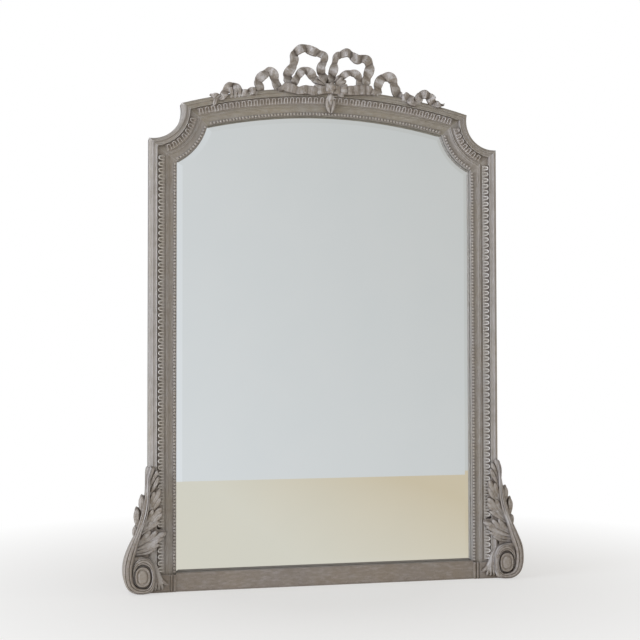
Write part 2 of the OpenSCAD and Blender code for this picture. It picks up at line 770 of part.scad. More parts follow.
module acanthus() {
    m = len(leaf_across);
    n = leaf_rows + 1;
    veins = [for (i = [0:leaf_rows], t = leaf_across) leaf_vein(i / leaf_rows, t)];
    front = [for (v = veins) [v[0], front_y - v[2], v[1]]];
    back = [for (v = veins) [v[0], front_y, v[1]]];
    k = n * m;
    cells = [for (i = [0:n - 2], j = [0:m - 2])
        let (a = i * m + j, b = a + 1, c = a + m, d = c + 1)
        each [[a, c, b], [b, c, d], [k + a, k + b, k + c], [k + b, k + d, k + c]]];
    rim = concat(
        [for (i = [0:n - 2]) let (a = i * m, c = a + m) each [[a, k + a, c], [c, k + a, k + c]]],
        [for (i = [0:n - 2]) let (a = i * m + m - 1, c = a + m) each [[a, c, k + a], [c, k + c, k + a]]],
        [for (j = [0:m - 2]) each [[j, j + 1, k + j], [j + 1, k + j + 1, k + j]]],
        [for (j = [0:m - 2]) let (a = (n - 1) * m + j) each [[a, k + a, a + 1], [a + 1, k + a, k + a + 1]]]);
    polyhedron(concat(front, back), concat(cells, rim));
}

module console_leaf_left() {
    color(paint_light) left() acanthus();
}

module console_leaf_right() {
    color(paint_light) acanthus();
}

// The small leaf that falls from the scroll over the end block
module foot_leaf() {
    difference() {
        union() {
            carved_drop([[492, 98, 2, 4], [482, 84, 7, 8], [479, 66, 9, 12], [472, 46, 14, 13],
                [464, 26, 17, 11], [468, 8, 8, 5]], 18, block_y);
            carved_drop([[468, 52, 4, 5], [457, 40, 7, 8], [448, 28, 6, 6], [442, 20, 3, 4]], 8, block_y);
        }
        side_run();
    }
}

module foot_leaf_left() {
    color(paint_light) left() foot_leaf();
}

module foot_leaf_right() {
    color(paint_light) foot_leaf();
}

// Hanging rings

hanger_x = 462;
strap_w = 20;
strap_t = 1.5;
strap_len = 66;
knuckle_gap = 0.15;
knuckle_bore = ring_wire_r + knuckle_gap;
knuckle_r = knuckle_bore + strap_t;
ring_y = knuckle_r + 0.2;
ring_half = strap_w / 2 + 3 + ring_wire_r;
screw_drops = [36, 54];

module strap() {
    difference() {
        union() {
            translate([hanger_x - strap_w / 2, 0, ring_z - strap_len]) cube([strap_w, strap_t, strap_len]);
            translate([hanger_x - strap_w / 2, ring_y, ring_z]) rotate([0, 90, 0])
                cylinder(h = strap_w, r = knuckle_r);
        }
        translate([hanger_x - strap_w, ring_y, ring_z]) rotate([0, 90, 0])
            cylinder(h = 2 * strap_w, r = knuckle_bore);
        for (d = screw_drops)
            translate([hanger_x, 5, ring_z - d]) rotate([90, 0, 0]) cylinder(h = 10, r = 2.2);
    }
}

module ring() {
    translate([hanger_x, ring_y, ring_z]) {
        translate([-ring_half, 0, 0]) rotate([0, 90, 0]) cylinder(h = 2 * ring_half, r = ring_wire_r);
        rotate([90, 0, 0]) rotate_extrude(angle = 180, start = 180)
            translate([ring_half, 0]) circle(ring_wire_r);
        for (s = [-1, 1])
            translate([s * ring_half, 0, 0]) sphere(ring_wire_r);
    }
}

module hanger_strap_left() {
    color("#9a927c") left() strap();
}

module hanger_strap_right() {
    color("#9a927c") strap();
}

module hanger_screws() {
    color("#8c8676")
        for (s = [-1, 1], d = screw_drops)
            translate([s * hanger_x, strap_t, ring_z - d]) rotate([90, 0, 0]) {
                translate([0, 0, -2]) cylinder(h = 2, r = 4);
                cylinder(h = 18, r = 2);
            }
}

module hanger_ring_left() {
    color("#a79f88") left() ring();
}

module hanger_ring_right() {
    color("#a79f88") ring();
}

back_stile_left();
back_stile_right();
back_rail_bottom();
back_rail_top();
carcass_screws();
side_moulding_left();
side_moulding_right();
notch_moulding_left();
notch_moulding_right();
arch_moulding();
tongue_strip_left();
tongue_strip_right();
tongue_strip_notch_left();
tongue_strip_notch_right();
tongue_strip_arch();
pearl_strip_left();
pearl_strip_right();
pearl_strip_notch_left();
pearl_strip_notch_right();
pearl_strip_arch();
base_rail();
base_block_left();
base_block_right();
end_reeds_left();
end_reeds_right();
mirror_glass();
silver_coat();
glass_blocks();
back_board_1();
back_board_2();
back_board_3();
back_board_4();
board_nails();
crest_base_ribbon();
bow_loop_left();
bow_loop_right();
inner_loop_left();
inner_loop_right();
streamer_left();
streamer_right();
streamer_tail_left();
streamer_tail_right();
bow_knot();
knot_leaves();
crest_pendant();
console_scroll_left();
console_scroll_right();
console_leaf_left();
console_leaf_right();
foot_leaf_left();
foot_leaf_right();
hanger_strap_left();
hanger_strap_right();
hanger_screws();
hanger_ring_left();
hanger_ring_right();
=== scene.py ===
"""Overmantel mirror: its carved ornament, its finishes and the studio around it."""

import math

import bpy
import numpy as np
from mathutils import Matrix, Vector


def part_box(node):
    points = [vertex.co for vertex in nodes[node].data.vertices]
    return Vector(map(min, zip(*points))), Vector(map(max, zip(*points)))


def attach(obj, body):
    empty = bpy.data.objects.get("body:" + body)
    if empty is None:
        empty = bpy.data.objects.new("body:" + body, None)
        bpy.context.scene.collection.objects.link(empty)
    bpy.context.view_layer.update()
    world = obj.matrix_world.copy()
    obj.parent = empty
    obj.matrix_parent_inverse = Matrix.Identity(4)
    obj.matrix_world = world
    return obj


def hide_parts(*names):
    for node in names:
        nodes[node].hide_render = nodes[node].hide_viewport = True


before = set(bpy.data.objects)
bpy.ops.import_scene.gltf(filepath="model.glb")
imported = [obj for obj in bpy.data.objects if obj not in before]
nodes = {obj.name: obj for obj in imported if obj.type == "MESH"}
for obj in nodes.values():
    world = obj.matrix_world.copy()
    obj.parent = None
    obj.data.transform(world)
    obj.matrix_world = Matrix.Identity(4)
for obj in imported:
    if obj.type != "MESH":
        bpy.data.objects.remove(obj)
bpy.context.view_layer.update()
BODY = "frame"
MM = 0.001

# Driving sizes in millimetres, as the construction has them. The tongue strips lie between TONGUE_W0 and
# TONGUE_W1 inside the frame's outer edge.
ARCH_R = 1500
NOTCH_R = 80.5
NOTCH_OUT = -8
CARCASS_T = 24
TONGUE_PITCH = 17
TONGUE_W0 = 24
TONGUE_W1 = 42
TONGUE_BED = 15
BLOCK_Y = -46
RIBBON_Y = -42
TAIL_Y = -50
BASE_RIBBON_Y = -54
KNOT_Y = -52
DROP_Y = -46

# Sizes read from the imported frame
side_low, side_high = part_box("side_moulding_right")
arch_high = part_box("arch_moulding")[1]
HALF_W = side_high.x / MM
BLOCK_H = side_low.z / MM
FRONT_Y = side_low.y / MM
SHOULDER_Z = side_high.z / MM
ARCH_CZ = arch_high.z / MM - ARCH_R
NOTCH_X = HALF_W + NOTCH_OUT
NOTCH_Z = SHOULDER_Z + math.sqrt(NOTCH_R ** 2 - NOTCH_OUT ** 2)


# Curves and meshes

FINE_STEPS = 400


def curve_at(rows, s):
    """Catmull-Rom through rows at the parameters s, from 0 to len(rows) - 1."""
    p = np.asarray(rows, float)
    s = np.atleast_1d(np.asarray(s, float))
    n = len(p) - 1
    i = np.clip(np.floor(s).astype(int), 0, n - 1)
    t = (s - i)[:, None]
    a, b = p[np.maximum(i - 1, 0)], p[i]
    c, d = p[i + 1], p[np.minimum(i + 2, n)]
    return 0.5 * (2 * b + (c - a) * t + (2 * a - 5 * b + 4 * c - d) * t ** 2
                  + (3 * b - a - 3 * c + d) * t ** 3)


def even_rows(rows, count):
    """count + 1 rows at even steps of length along the curve, and the share of its length at each."""
    fine = curve_at(rows, np.linspace(0, len(rows) - 1, FINE_STEPS))
    steps = np.hypot(np.diff(fine[:, 0]), np.diff(fine[:, 1]))
    length = np.concatenate([[0], np.cumsum(steps)])
    share = np.linspace(0, 1, count + 1)
    columns = [np.interp(share * length[-1], length, column) for column in fine.T]
    return np.stack(columns, 1), share


def normals(points):
    """Unit directions square to a row of points in the plane."""
    along = np.gradient(points[:, :2], axis=0)
    along = along / np.maximum(np.linalg.norm(along, axis=1, keepdims=True), 1e-9)
    return np.stack([-along[:, 1], along[:, 0]], 1)


def at_depth(flat, y):
    """Points of the plane as points in space at one depth."""
    return np.stack([flat[:, 0], np.full(len(flat), y), flat[:, 1]], 1)


def swept(centre, half, u, y):
    """Rows of points across a curve, at the shares u of its half width and at the depths y."""
    across = normals(centre)
    x = centre[:, None, 0] + across[:, None, 0] * u[None, :] * half[:, None]
    z = centre[:, None, 1] + across[:, None, 1] * u[None, :] * half[:, None]
    return np.stack([x, y, z], 2)


def with_back(front, depth):
    """A sheet's rows with two more points each behind its edges, which makes them rings of a closed solid."""
    back = front[:, [-1, 0]].copy()
    back[:, :, 1] = depth
    return np.concatenate([front, back], 1)


def with_back_shading(shade_and_sheen, behind=1.0):
    """The painted shade and sheen of a sheet's rows and of the two points behind each, which get behind."""
    return np.concatenate([shade_and_sheen, np.full((len(shade_and_sheen), 2), behind)], 1)


class Shape:
    """Vertices in millimetres and faces, gathered from several closed solids."""

    def __init__(self):
        self.points = []
        self.shade_and_sheen = []
        self.faces = []
        self.count = 0

    def add(self, rings, shade_and_sheen=None):
        """Adds a solid of rings of points, closed at its first and last ring. shade_and_sheen is 1 where dark
        glazing and painted shade lie and -1 where the paint is worn pale, with a painted highlight."""
        rings = np.asarray(rings, float)
        n, m = rings.shape[:2]
        base = self.count
        self.points.append(rings.reshape(-1, 3))
        self.shade_and_sheen.append(np.zeros(n * m) if shade_and_sheen is None else np.asarray(shade_and_sheen, float).reshape(-1))
        self.count += n * m
        for i in range(n - 1):
            for j in range(m):
                a = base + i * m + j
                b = base + i * m + (j + 1) % m
                self.faces.append((a, b, b + m, a + m))
        self.faces.append(tuple(range(base, base + m))[::-1])
        self.faces.append(tuple(range(self.count - m, self.count)))

    def mirrored(self):
        """The same shape on the other side of the middle plane."""
        other = Shape()
        other.points = [p * np.array([-1, 1, 1]) for p in self.points]
        other.shade_and_sheen = self.shade_and_sheen
        other.faces = [f[::-1] for f in self.faces]
        other.count = self.count
        return other


def piece(name, shape, material, replaced=(), body=BODY):
    """Makes a mesh object from a shape, which rides on a body and may stand for CAD nodes."""
    mesh = bpy.data.meshes.new(name)
    points = np.concatenate(shape.points) * MM
    mesh.from_pydata(points.tolist(), [], shape.faces)
    attribute = mesh.attributes.new("shade_and_sheen", "FLOAT", "POINT")
    attribute.data.foreach_set("value", np.concatenate(shape.shade_and_sheen))
    mesh.shade_smooth()
    mesh.materials.append(material)
    obj = bpy.data.objects.new(name, mesh)
    bpy.context.scene.collection.objects.link(obj)
    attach(obj, body)
    if replaced:
        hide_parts(*replaced)


def carved(node, shape, material):
    """A carved piece that stands for one CAD node."""
    piece(node + "_carved", shape, material, [node])


def carved_pair(stem, shape, material):
    """The right piece of a pair and its mirror image on the left."""
    carved(stem + "_right", shape, material)
    carved(stem + "_left", shape.mirrored(), material)


# Materials

def srgb(red, green, blue):
    """A colour written as the eye sees it, from 0 to 255, as linear values."""
    def linear(value):
        v = value / 255
        return v / 12.92 if v <= 0.04045 else ((v + 0.055) / 1.055) ** 2.4
    return (linear(red), linear(green), linear(blue), 1.0)


def tinted(colour, factors):
    """A colour with its red, green and blue multiplied by factors."""
    return tuple(value * factor for value, factor in zip(colour, factors)) + (1,)


# Where a colour mix node has its factor, its two colours and its result
MIX_INPUTS = (0, 6, 7)
MIX_OUTPUT = 2


class Tree:
    """A short way to write a node tree."""

    def __init__(self, tree):
        self.tree = tree
        tree.nodes.clear()

    def add(self, kind, **settings):
        node = self.tree.nodes.new(kind)
        for key, value in settings.items():
            setattr(node, key, value)
        return node

    def feed(self, value, socket):
        """Links a socket to another node's output, or gives it a plain value."""
        if isinstance(value, bpy.types.NodeSocket):
            self.tree.links.new(value, socket)
        else:
            socket.default_value = value

    def feed_all(self, values, sockets):
        for value, socket in zip(values, sockets):
            self.feed(value, socket)

    def split(self, vector):
        """The x, y and z of a vector."""
        node = self.add("ShaderNodeSeparateXYZ")
        self.feed(vector, node.inputs[0])
        return node.outputs

    def ramp(self, value, stops):
        """A colour ramp; each stop is a place and a grey value or colour."""
        node = self.add("ShaderNodeValToRGB")
        elements = node.color_ramp.elements
        while len(elements) < len(stops):
            elements.new(0.5)
        for element, (position, colour) in zip(elements, stops):
            element.position = position
            element.color = colour if isinstance(colour, tuple) else (colour, colour, colour, 1)
        self.feed(value, node.inputs[0])
        return node.outputs[0]

    def mix(self, factor, first, second):
        """A mixture of two colours."""
        node = self.add("ShaderNodeMix", data_type="RGBA")
        self.feed_all((factor, first, second), (node.inputs[i] for i in MIX_INPUTS))
        return node.outputs[MIX_OUTPUT]

    def math(self, operation, *values):
        node = self.add("ShaderNodeMath", operation=operation)
        self.feed_all(values, node.inputs)
        return node.outputs[0]

    def blend(self, factor, first, second):
        """A mixture of two shaders."""
        node = self.add("ShaderNodeMixShader")
        self.feed_all((factor, first, second), node.inputs)
        return node.outputs[0]


class Surface(Tree):
    """A material's node tree around one principled shader."""

    def __init__(self, name):
        self.material = bpy.data.materials.new(name)
        self.material.use_nodes = True
        super().__init__(self.material.node_tree)
        self.output = self.add("ShaderNodeOutputMaterial")
        self.shader = self.add("ShaderNodeBsdfPrincipled")
        self.feed(self.shader.outputs[0], self.output.inputs["Surface"])

    def place(self, scale=(1, 1, 1)):
        """Object coordinates, stretched by scale."""
        coordinates = self.add("ShaderNodeTexCoord")
        mapping = self.add("ShaderNodeMapping")
        mapping.inputs["Scale"].default_value = scale
        self.feed(coordinates.outputs["Object"], mapping.inputs["Vector"])
        return mapping.outputs[0]

    def noise(self, vector, scale, detail, roughness, distortion=0.0):
        node = self.add("ShaderNodeTexNoise")
        node.inputs["Scale"].default_value = scale
        node.inputs["Detail"].default_value = detail
        node.inputs["Roughness"].default_value = roughness
        node.inputs["Distortion"].default_value = distortion
        self.feed(vector, node.inputs["Vector"])
        return node.outputs[0]

    def fade(self, value, start, end, first, last):
        """A value between start and end as one between first and last."""
        node = self.add("ShaderNodeMapRange")
        node.inputs["From Min"].default_value = start
        node.inputs["From Max"].default_value = end
        node.inputs["To Min"].default_value = first
        node.inputs["To Max"].default_value = last
        self.feed(value, node.inputs[0])
        return node.outputs[0]

    def bump(self, height, strength, distance):
        node = self.add("ShaderNodeBump")
        node.inputs["Strength"].default_value = strength
        node.inputs["Distance"].default_value = distance
        self.feed(height, node.inputs["Height"])
        self.feed(node.outputs[0], self.shader.inputs["Normal"])

    def hollow(self, distance, inside=False):
        """1 in the open, towards 0 in a recess, or with inside set, towards 0 on a sharp edge."""
        node = self.add("ShaderNodeAmbientOcclusion", samples=8, inside=inside)
        node.inputs["Distance"].default_value = distance
        return node.outputs["AO"]


# How yellowed and how stained paint differs from its base colour
YELLOWED = (0.99, 0.94, 0.83)
STAINED = (0.78, 0.74, 0.66)


def aged_paint(name, base, light, dark, stretch=(1, 1, 1), low=None, hollow_shade=0.9, mottle=34, stain=0.35,
               sheen_at=None):
    """Old patinated paint: mottled, worn light on its edges, with glazing and painted shade in the hollows.

    stretch draws out the brush strokes. hollow_shade and stain are the strengths of the glazing and painted
    shade in hollows and of the dark blotches, and mottle is how fine the blotches are. low gives the depths
    between which
    painted shade fills the ground of an ornament. sheen_at gives a painted highlight, an upright band of
    paler paint:
    how far it is from the middle, its half width and how far from its middle it has faded out. Both are in
    millimetres."""
    m = Surface(name)
    place = m.place()
    clouds = m.noise(place, 9, 5, 0.6)
    blotches = m.noise(place, mottle, 4, 0.6)
    strokes = m.noise(m.place(stretch), 160, 4, 0.6)
    specks = m.noise(place, 420, 3, 0.6)
    colour = m.mix(m.ramp(clouds, [(0.35, 0.0), (0.68, 0.8)]), base, tinted(base, YELLOWED))
    colour = m.mix(m.ramp(blotches, [(0.36, stain), (0.52, 0.0)]), colour, tinted(base, STAINED))
    colour = m.mix(m.ramp(strokes, [(0.45, 0.0), (0.72, 0.22)]), colour, light)
    colour = m.mix(m.ramp(specks, [(0.3, 0.45), (0.42, 0.0)]), colour, dark)
    # Painted shade in hollows, with dark glazing: darker where the occlusion node finds a recess.
    colour = m.mix(m.ramp(m.hollow(0.010), [(0.3, hollow_shade), (0.85, 0.0)]), colour, dark)
    edges = m.ramp(m.hollow(0.003, inside=True), [(0.25, 0.6), (0.75, 0.0)])
    colour = m.mix(m.math("MULTIPLY", edges, m.ramp(clouds, [(0.3, 0.4), (0.6, 1.0)])), colour, light)
    # Where the mesh attribute is above 0 it paints shade, with dark glazing; below 0 it paints a highlight,
    # with worn paint.
    shade_and_sheen = m.add("ShaderNodeAttribute", attribute_name="shade_and_sheen").outputs["Fac"]
    wear_and_sheen = m.math("MAXIMUM", m.math("MULTIPLY", shade_and_sheen, -1.0), 0.0)
    colour = m.mix(m.math("MULTIPLY", wear_and_sheen, m.ramp(blotches, [(0.4, 0.1), (0.62, 1.0)])), colour, light)
    shade_strength = m.math("MULTIPLY", m.math("MAXIMUM", shade_and_sheen, 0.0), 0.5)
    colour = m.mix(shade_strength, colour, dark)
    across, depth, _ = m.split(place)
    # A paler upright band along each outer lip: a painted highlight.
    if sheen_at:
        middle, half, end = (length * MM for length in sheen_at)
        off_middle = m.math("ABSOLUTE", m.math("SUBTRACT", m.math("ABSOLUTE", across), middle))
        band = m.fade(off_middle, half, end, 0.6, 0.0)
        colour = m.mix(m.math("MULTIPLY", band, m.ramp(blotches, [(0.3, 0.5), (0.6, 1.0)])), colour, light)
    # Painted shade on the ground of an ornament, darker towards the back.
    if low:
        colour = m.mix(m.fade(depth, low[0] * MM, low[1] * MM, 0.0, 0.5), colour, dark)
    m.feed(colour, m.shader.inputs["Base Color"])
    m.feed(m.ramp(strokes, [(0.3, 0.46), (0.7, 0.62)]), m.shader.inputs["Roughness"])
    m.shader.inputs["Specular IOR Level"].default_value = 0.5
    m.bump(m.math("ADD", m.math("MULTIPLY", strokes, 0.5), m.math("MULTIPLY", specks, 0.4)), 0.2, 0.0005)
    return m.material


def grained_wood(name, pale, deep, stretch, edge=None):
    """Softwood with grain along the axis whose stretch is smallest. With edge it is bare behind and has that
    paint elsewhere."""
    m = Surface(name)
    place = m.place(stretch)
    rings = m.noise(place, 14, 3, 0.5, 1.6)
    grain = m.noise(place, 90, 6, 0.65)
    stain = m.noise(m.place(), 4, 4, 0.6)
    wave = m.math("FRACT", m.math("MULTIPLY", rings, 9))
    # Dark brown for stains in patches and for painted shade in recesses.
    dirt_and_shade = tinted(deep, (0.45, 0.45, 0.45))
    colour = m.mix(m.ramp(wave, [(0.0, 0.1), (0.75, 0.85), (1.0, 0.1)]), pale, deep)
    colour = m.mix(m.ramp(grain, [(0.45, 0.0), (0.62, 0.5)]), colour, deep)
    colour = m.mix(m.ramp(stain, [(0.45, 0.0), (0.75, 0.55)]), colour, dirt_and_shade)
    # Painted shade: darker in recesses.
    colour = m.mix(m.ramp(m.hollow(0.02), [(0.2, 0.7), (0.75, 0.0)]), colour, dirt_and_shade)
    if edge:
        facing = m.split(m.add("ShaderNodeNewGeometry").outputs["Normal"])
        colour = m.mix(m.math("GREATER_THAN", facing[1], 0.5), edge, colour)
    m.feed(colour, m.shader.inputs["Base Color"])
    m.feed(m.ramp(grain, [(0.3, 0.6), (0.7, 0.82)]), m.shader.inputs["Roughness"])
    m.bump(grain, 0.4, 0.0008)
    return m.material


def aged_metal(name, base, tarnish, rough):
    """Dull metal with dark tarnish in patches."""
    m = Surface(name)
    place = m.place()
    patches = m.noise(place, 90, 5, 0.6)
    fine = m.noise(place, 700, 3, 0.6)
    colour = m.mix(m.ramp(patches, [(0.4, 0.0), (0.66, 0.9)]), base, tarnish)
    m.feed(colour, m.shader.inputs["Base Color"])
    m.shader.inputs["Metallic"].default_value = 1.0
    m.feed(m.ramp(patches, [(0.3, rough), (0.7, rough + 0.25)]), m.shader.inputs["Roughness"])
    m.bump(fine, 0.3, 0.0003)
    return m.material


def mirror_finish():
    """Silvered plate glass, a little cool."""
    m = Surface("mirror_plate")
    place = m.place()
    haze = m.noise(place, 6, 3, 0.5)
    m.shader.inputs["Metallic"].default_value = 1.0
    m.feed(m.mix(haze, srgb(244, 247, 247), srgb(250, 251, 250)), m.shader.inputs["Base Color"])
    m.feed(m.ramp(haze, [(0.3, 0.008), (0.8, 0.016)]), m.shader.inputs["Roughness"])
    return m.material


def backing_paint():
    """Dark protective paint over the silvering."""
    m = Surface("backing_paint")
    place = m.place()
    brush = m.noise(m.place((1, 1, 0.1)), 120, 4, 0.6)
    clouds = m.noise(place, 8, 4, 0.6)
    m.feed(m.mix(clouds, srgb(96, 92, 90), srgb(122, 118, 112)), m.shader.inputs["Base Color"])
    m.feed(m.ramp(brush, [(0.3, 0.6), (0.7, 0.8)]), m.shader.inputs["Roughness"])
    m.bump(brush, 0.3, 0.0005)
    return m.material


GREY = srgb(150, 144, 139)
GREY_LIGHT = srgb(200, 196, 195)
GREY_RAIL = srgb(136, 127, 120)
GREY_CARVED = srgb(152, 144, 138)
# The side strips' tongues are painted paler than the others, a lit copy of their paint, and the next colour
# lightens them further: painted light.
GREY_TONGUES_LIT = srgb(204, 200, 197)
GREY_WEAR_AND_SHEEN = srgb(225, 222, 220)
GREY_PEARLS = srgb(164, 158, 153)
GREY_ARCH = srgb(148, 141, 131)
GREY_DARK = srgb(112, 104, 98)
# Dark brown for specks, glazing and painted shade.
GLAZE_AND_SHADE = srgb(70, 58, 50)
PINE = srgb(198, 160, 112)
PINE_RINGS = srgb(150, 108, 66)

# How brush strokes run on upright and on level mouldings
UPRIGHT = (1, 1, 0.3)
LEVEL = (0.3, 1, 1)

paint_plain = aged_paint("paint_plain", GREY, GREY_LIGHT, GLAZE_AND_SHADE, UPRIGHT, hollow_shade=0.45)
# The side mouldings' paint carries a painted highlight: a paler upright band along each outer lip.
paint_side = aged_paint("paint_side", GREY, GREY_LIGHT, GLAZE_AND_SHADE, UPRIGHT, hollow_shade=0.45,
                        sheen_at=(HALF_W - 15, 4, 9))
paint_arch = aged_paint("paint_arch", GREY_ARCH, GREY_LIGHT, GLAZE_AND_SHADE, LEVEL, hollow_shade=0.45)
paint_rail = aged_paint("paint_rail", GREY_RAIL, GREY_LIGHT, GLAZE_AND_SHADE, LEVEL, hollow_shade=0.6)
paint_carved = aged_paint("paint_carved", GREY_CARVED, GREY_LIGHT, GLAZE_AND_SHADE, mottle=80, stain=0.75)
paint_tongues = aged_paint("paint_tongues", GREY_CARVED, GREY_LIGHT, GLAZE_AND_SHADE, hollow_shade=0.2, stain=0.6)
# The side strips' tongue paint: a lit copy, with painted highlight and stronger painted shade in the hollows.
paint_tongues_side_lit = aged_paint("paint_tongues_side_lit", GREY_TONGUES_LIT, GREY_WEAR_AND_SHEEN, GLAZE_AND_SHADE, hollow_shade=0.7)
# Painted shade on the ground between the pearls.
paint_pearls = aged_paint("paint_pearls", GREY_PEARLS, GREY_LIGHT, GLAZE_AND_SHADE, low=(-39.4, -37.6))
pine_upright = grained_wood("pine_upright", PINE, PINE_RINGS, (1, 1, 0.07), GREY_DARK)
pine_level = grained_wood("pine_level", PINE, PINE_RINGS, (0.07, 1, 1), GREY_DARK)
board_wood = grained_wood("board_wood", srgb(168, 130, 88), srgb(112, 80, 50), (1, 1, 0.05))
steel = aged_metal("steel_dull", srgb(150, 144, 134), srgb(74, 60, 48), 0.38)
brass = aged_metal("brass_dull", srgb(186, 158, 104), srgb(92, 72, 44), 0.34)
plate = mirror_finish()
backing = backing_paint()

# Each finish by the start of its nodes' names; any other node is carved work
node_finish = {
    "back_stile": pine_upright, "back_rail": pine_level, "glass_blocks": pine_upright,
    "back_board": board_wood, "carcass_screws": steel, "board_nails": steel, "hanger_screws": steel,
    "hanger_strap": brass, "hanger_ring": brass, "mirror_glass": plate, "silver_coat": backing,
    "base_rail": paint_rail, "base_block": paint_rail, "end_reeds": paint_rail,
    "side_moulding": paint_side, "notch_moulding": paint_plain, "arch_moulding": paint_arch,
    "pearl_strip": paint_pearls,
}
for node_name, node_object in nodes.items():
    finish = paint_carved
    for start, material in node_finish.items():
        if node_name.startswith(start):
            finish = material
    node_object.data.materials.clear()
    node_object.data.materials.append(finish)


# Carved ribbons of the crest

RIBBON_T = 9
FOLD_DEPTH = 4.6
EDGE_LEAN = 3.8
MIDDLE_CUP = 2.6
REED_DEPTH = 0.35
STEPS_PER_FOLD = 34
RIBBON_SIDES = 26


def ribbon(rows, folds, lead, depth, spread, skew, relief):
    """A closed carved band along rows of x, z and half width, and its painted shade and sheen.

    It is cupped, reeded and folded to and fro by creases of uneven strength. lead is where the folds begin in
    degrees, a spread over 1 draws them together towards the end, skew slants them, and relief is how deep
    they are."""
    centre, share = even_rows(rows, STEPS_PER_FOLD * folds)
    strengths = np.random.default_rng(folds * 100 + lead).uniform(0.35, 1.0, folds + 6)
    phase = 2 * math.pi * folds * share ** spread + math.radians(lead)
    angle = np.linspace(0, 2 * math.pi, RIBBON_SIDES, endpoint=False)
    u = np.sign(np.cos(angle)) * np.abs(np.cos(angle)) ** 0.6
    v = np.sign(np.sin(angle)) * np.abs(np.sin(angle)) ** 0.5
    swell = 2 * np.abs(np.sin(phase / 2)) ** 0.7 - 1
    taper = np.clip(np.minimum(share, 1 - share) * 14, 0.6, 1)
    half = centre[:, 2] * (1.02 + 0.12 * relief * swell) * taper
    slant = phase[:, None] + skew * u[None, :] * np.cos(phase / 2)[:, None]
    crease = np.abs(np.sin(slant / 2))
    strength = strengths[np.round(slant / (2 * math.pi)).astype(int) + 2]
    fold = 1 - 2 * relief * (0.5 + 0.5 * strength) * (1 - crease ** (2.0 - 0.8 * strength))
    lean = EDGE_LEAN * relief * u[None, :] * np.sin(phase / 2)[:, None]
    cup = MIDDLE_CUP * (1 - u ** 2)[None, :]
    reeds = np.cos(4 * slant)
    wave = FOLD_DEPTH * fold + lean
    front = depth - wave + cup - RIBBON_T * 0.3 + REED_DEPTH * reeds
    back = depth - 0.5 * wave + RIBBON_T
    y = back + (front - back) * (v[None, :] + 1) / 2
    # Painted shade along both edges of the band.
    rim = np.clip(np.abs(u) / 0.12 - 7.2, 0, 1)[None, :]
    # Painted shade in the creases and a painted highlight on the fold crests; the reeds add slight painted
    # shade in their hollows.
    shade_and_sheen = 1.15 * strength ** 1.5 * np.exp(-(crease / 0.34) ** 2) - 0.75 * relief ** 2 * crease ** 4
    return swept(centre, half, u, y), shade_and_sheen * (1 - rim) + 0.9 * rim + 0.15 * reeds


BOW_LEFT = [(-116, 1370, 12), (-112, 1394, 12.5), (-113, 1412, 12), (-100, 1432, 11), (-95, 1450, 11),
            (-95, 1466, 11), (-80, 1481, 11), (-62, 1486, 11), (-45, 1478, 10.5), (-26, 1474, 10.5),
            (-10, 1465, 10), (-12, 1449, 10), (-20, 1434, 10), (-17, 1418, 11), (-8, 1401, 12),
            (0, 1384, 13)]
BOW_RIGHT = [(8, 1384, 15), (12, 1408, 12), (17, 1432, 10.5), (21, 1452, 8), (25, 1466, 9),
             (39, 1473, 10), (56, 1479, 11), (70, 1472, 10.5), (84, 1461, 11), (99, 1465, 11.5),
             (114, 1460, 12), (121, 1443, 12), (117, 1423, 12), (110, 1400, 12), (109, 1376, 11)]
INNER_LEFT = [(-101, 1378, 10), (-90, 1398, 10), (-76, 1418, 10), (-62, 1424, 9), (-49, 1413, 10.5),
              (-35, 1398, 11), (-15, 1387, 9)]
INNER_RIGHT = [(20, 1392, 9), (38, 1408, 9.5), (55, 1420, 8.5), (74, 1421, 8.5), (88, 1410, 9),
               (90, 1390, 9.5), (84, 1368, 9)]
STREAMER_LEFT = [(-133, 1361, 11), (-144, 1377, 11), (-149, 1393, 11), (-154, 1408, 11),
                 (-166, 1417, 10), (-178, 1407, 11), (-190, 1397, 12), (-196, 1384, 11.5),
                 (-192, 1368, 11), (-194, 1352, 11)]
STREAMER_RIGHT = [(145, 1359, 11), (145, 1386, 11), (149, 1403, 11), (161, 1414, 11.5),
                  (177, 1416, 11.5), (189, 1406, 11.5), (193, 1390, 11.5), (200, 1372, 13.5),
                  (214, 1358, 14)]
TAIL_LEFT = [(-200, 1350, 10), (-214, 1357, 10.5), (-229, 1351, 9), (-243, 1351, 9), (-254, 1362, 10),
             (-266, 1369, 10), (-279, 1365, 10.5), (-289, 1351, 10), (-297, 1338, 9), (-309, 1337, 8.5),
             (-321, 1340, 6), (-331, 1343, 3.5)]
TAIL_RIGHT = [(212, 1357, 13.5), (229, 1357, 14), (247, 1347, 12.5), (259, 1352, 11), (266, 1364, 11.5),
              (280, 1370, 11.5), (294, 1363, 11.5), (302, 1350, 11), (316, 1343, 9.5), (328, 1342, 6),
              (337, 1343, 4)]
BASE_RIBBON = [(-142, 1362, 9), (-124, 1370, 12), (-104, 1368, 12), (-84, 1363, 11), (-64, 1367, 12),
               (-44, 1364, 12), (-22, 1367, 11.5), (0, 1370, 11), (24, 1369, 11.5), (46, 1369, 12),
               (66, 1370, 13), (86, 1372, 13.5), (106, 1373, 13.5), (124, 1369, 13), (136, 1362, 9)]

# Spread, skew and relief of the folds, where the ribbon hangs free and where it lies flat along the rail
FREE = (1, 0.9, 1.0)
FLAT = (1.5, 0.25, 0.32)

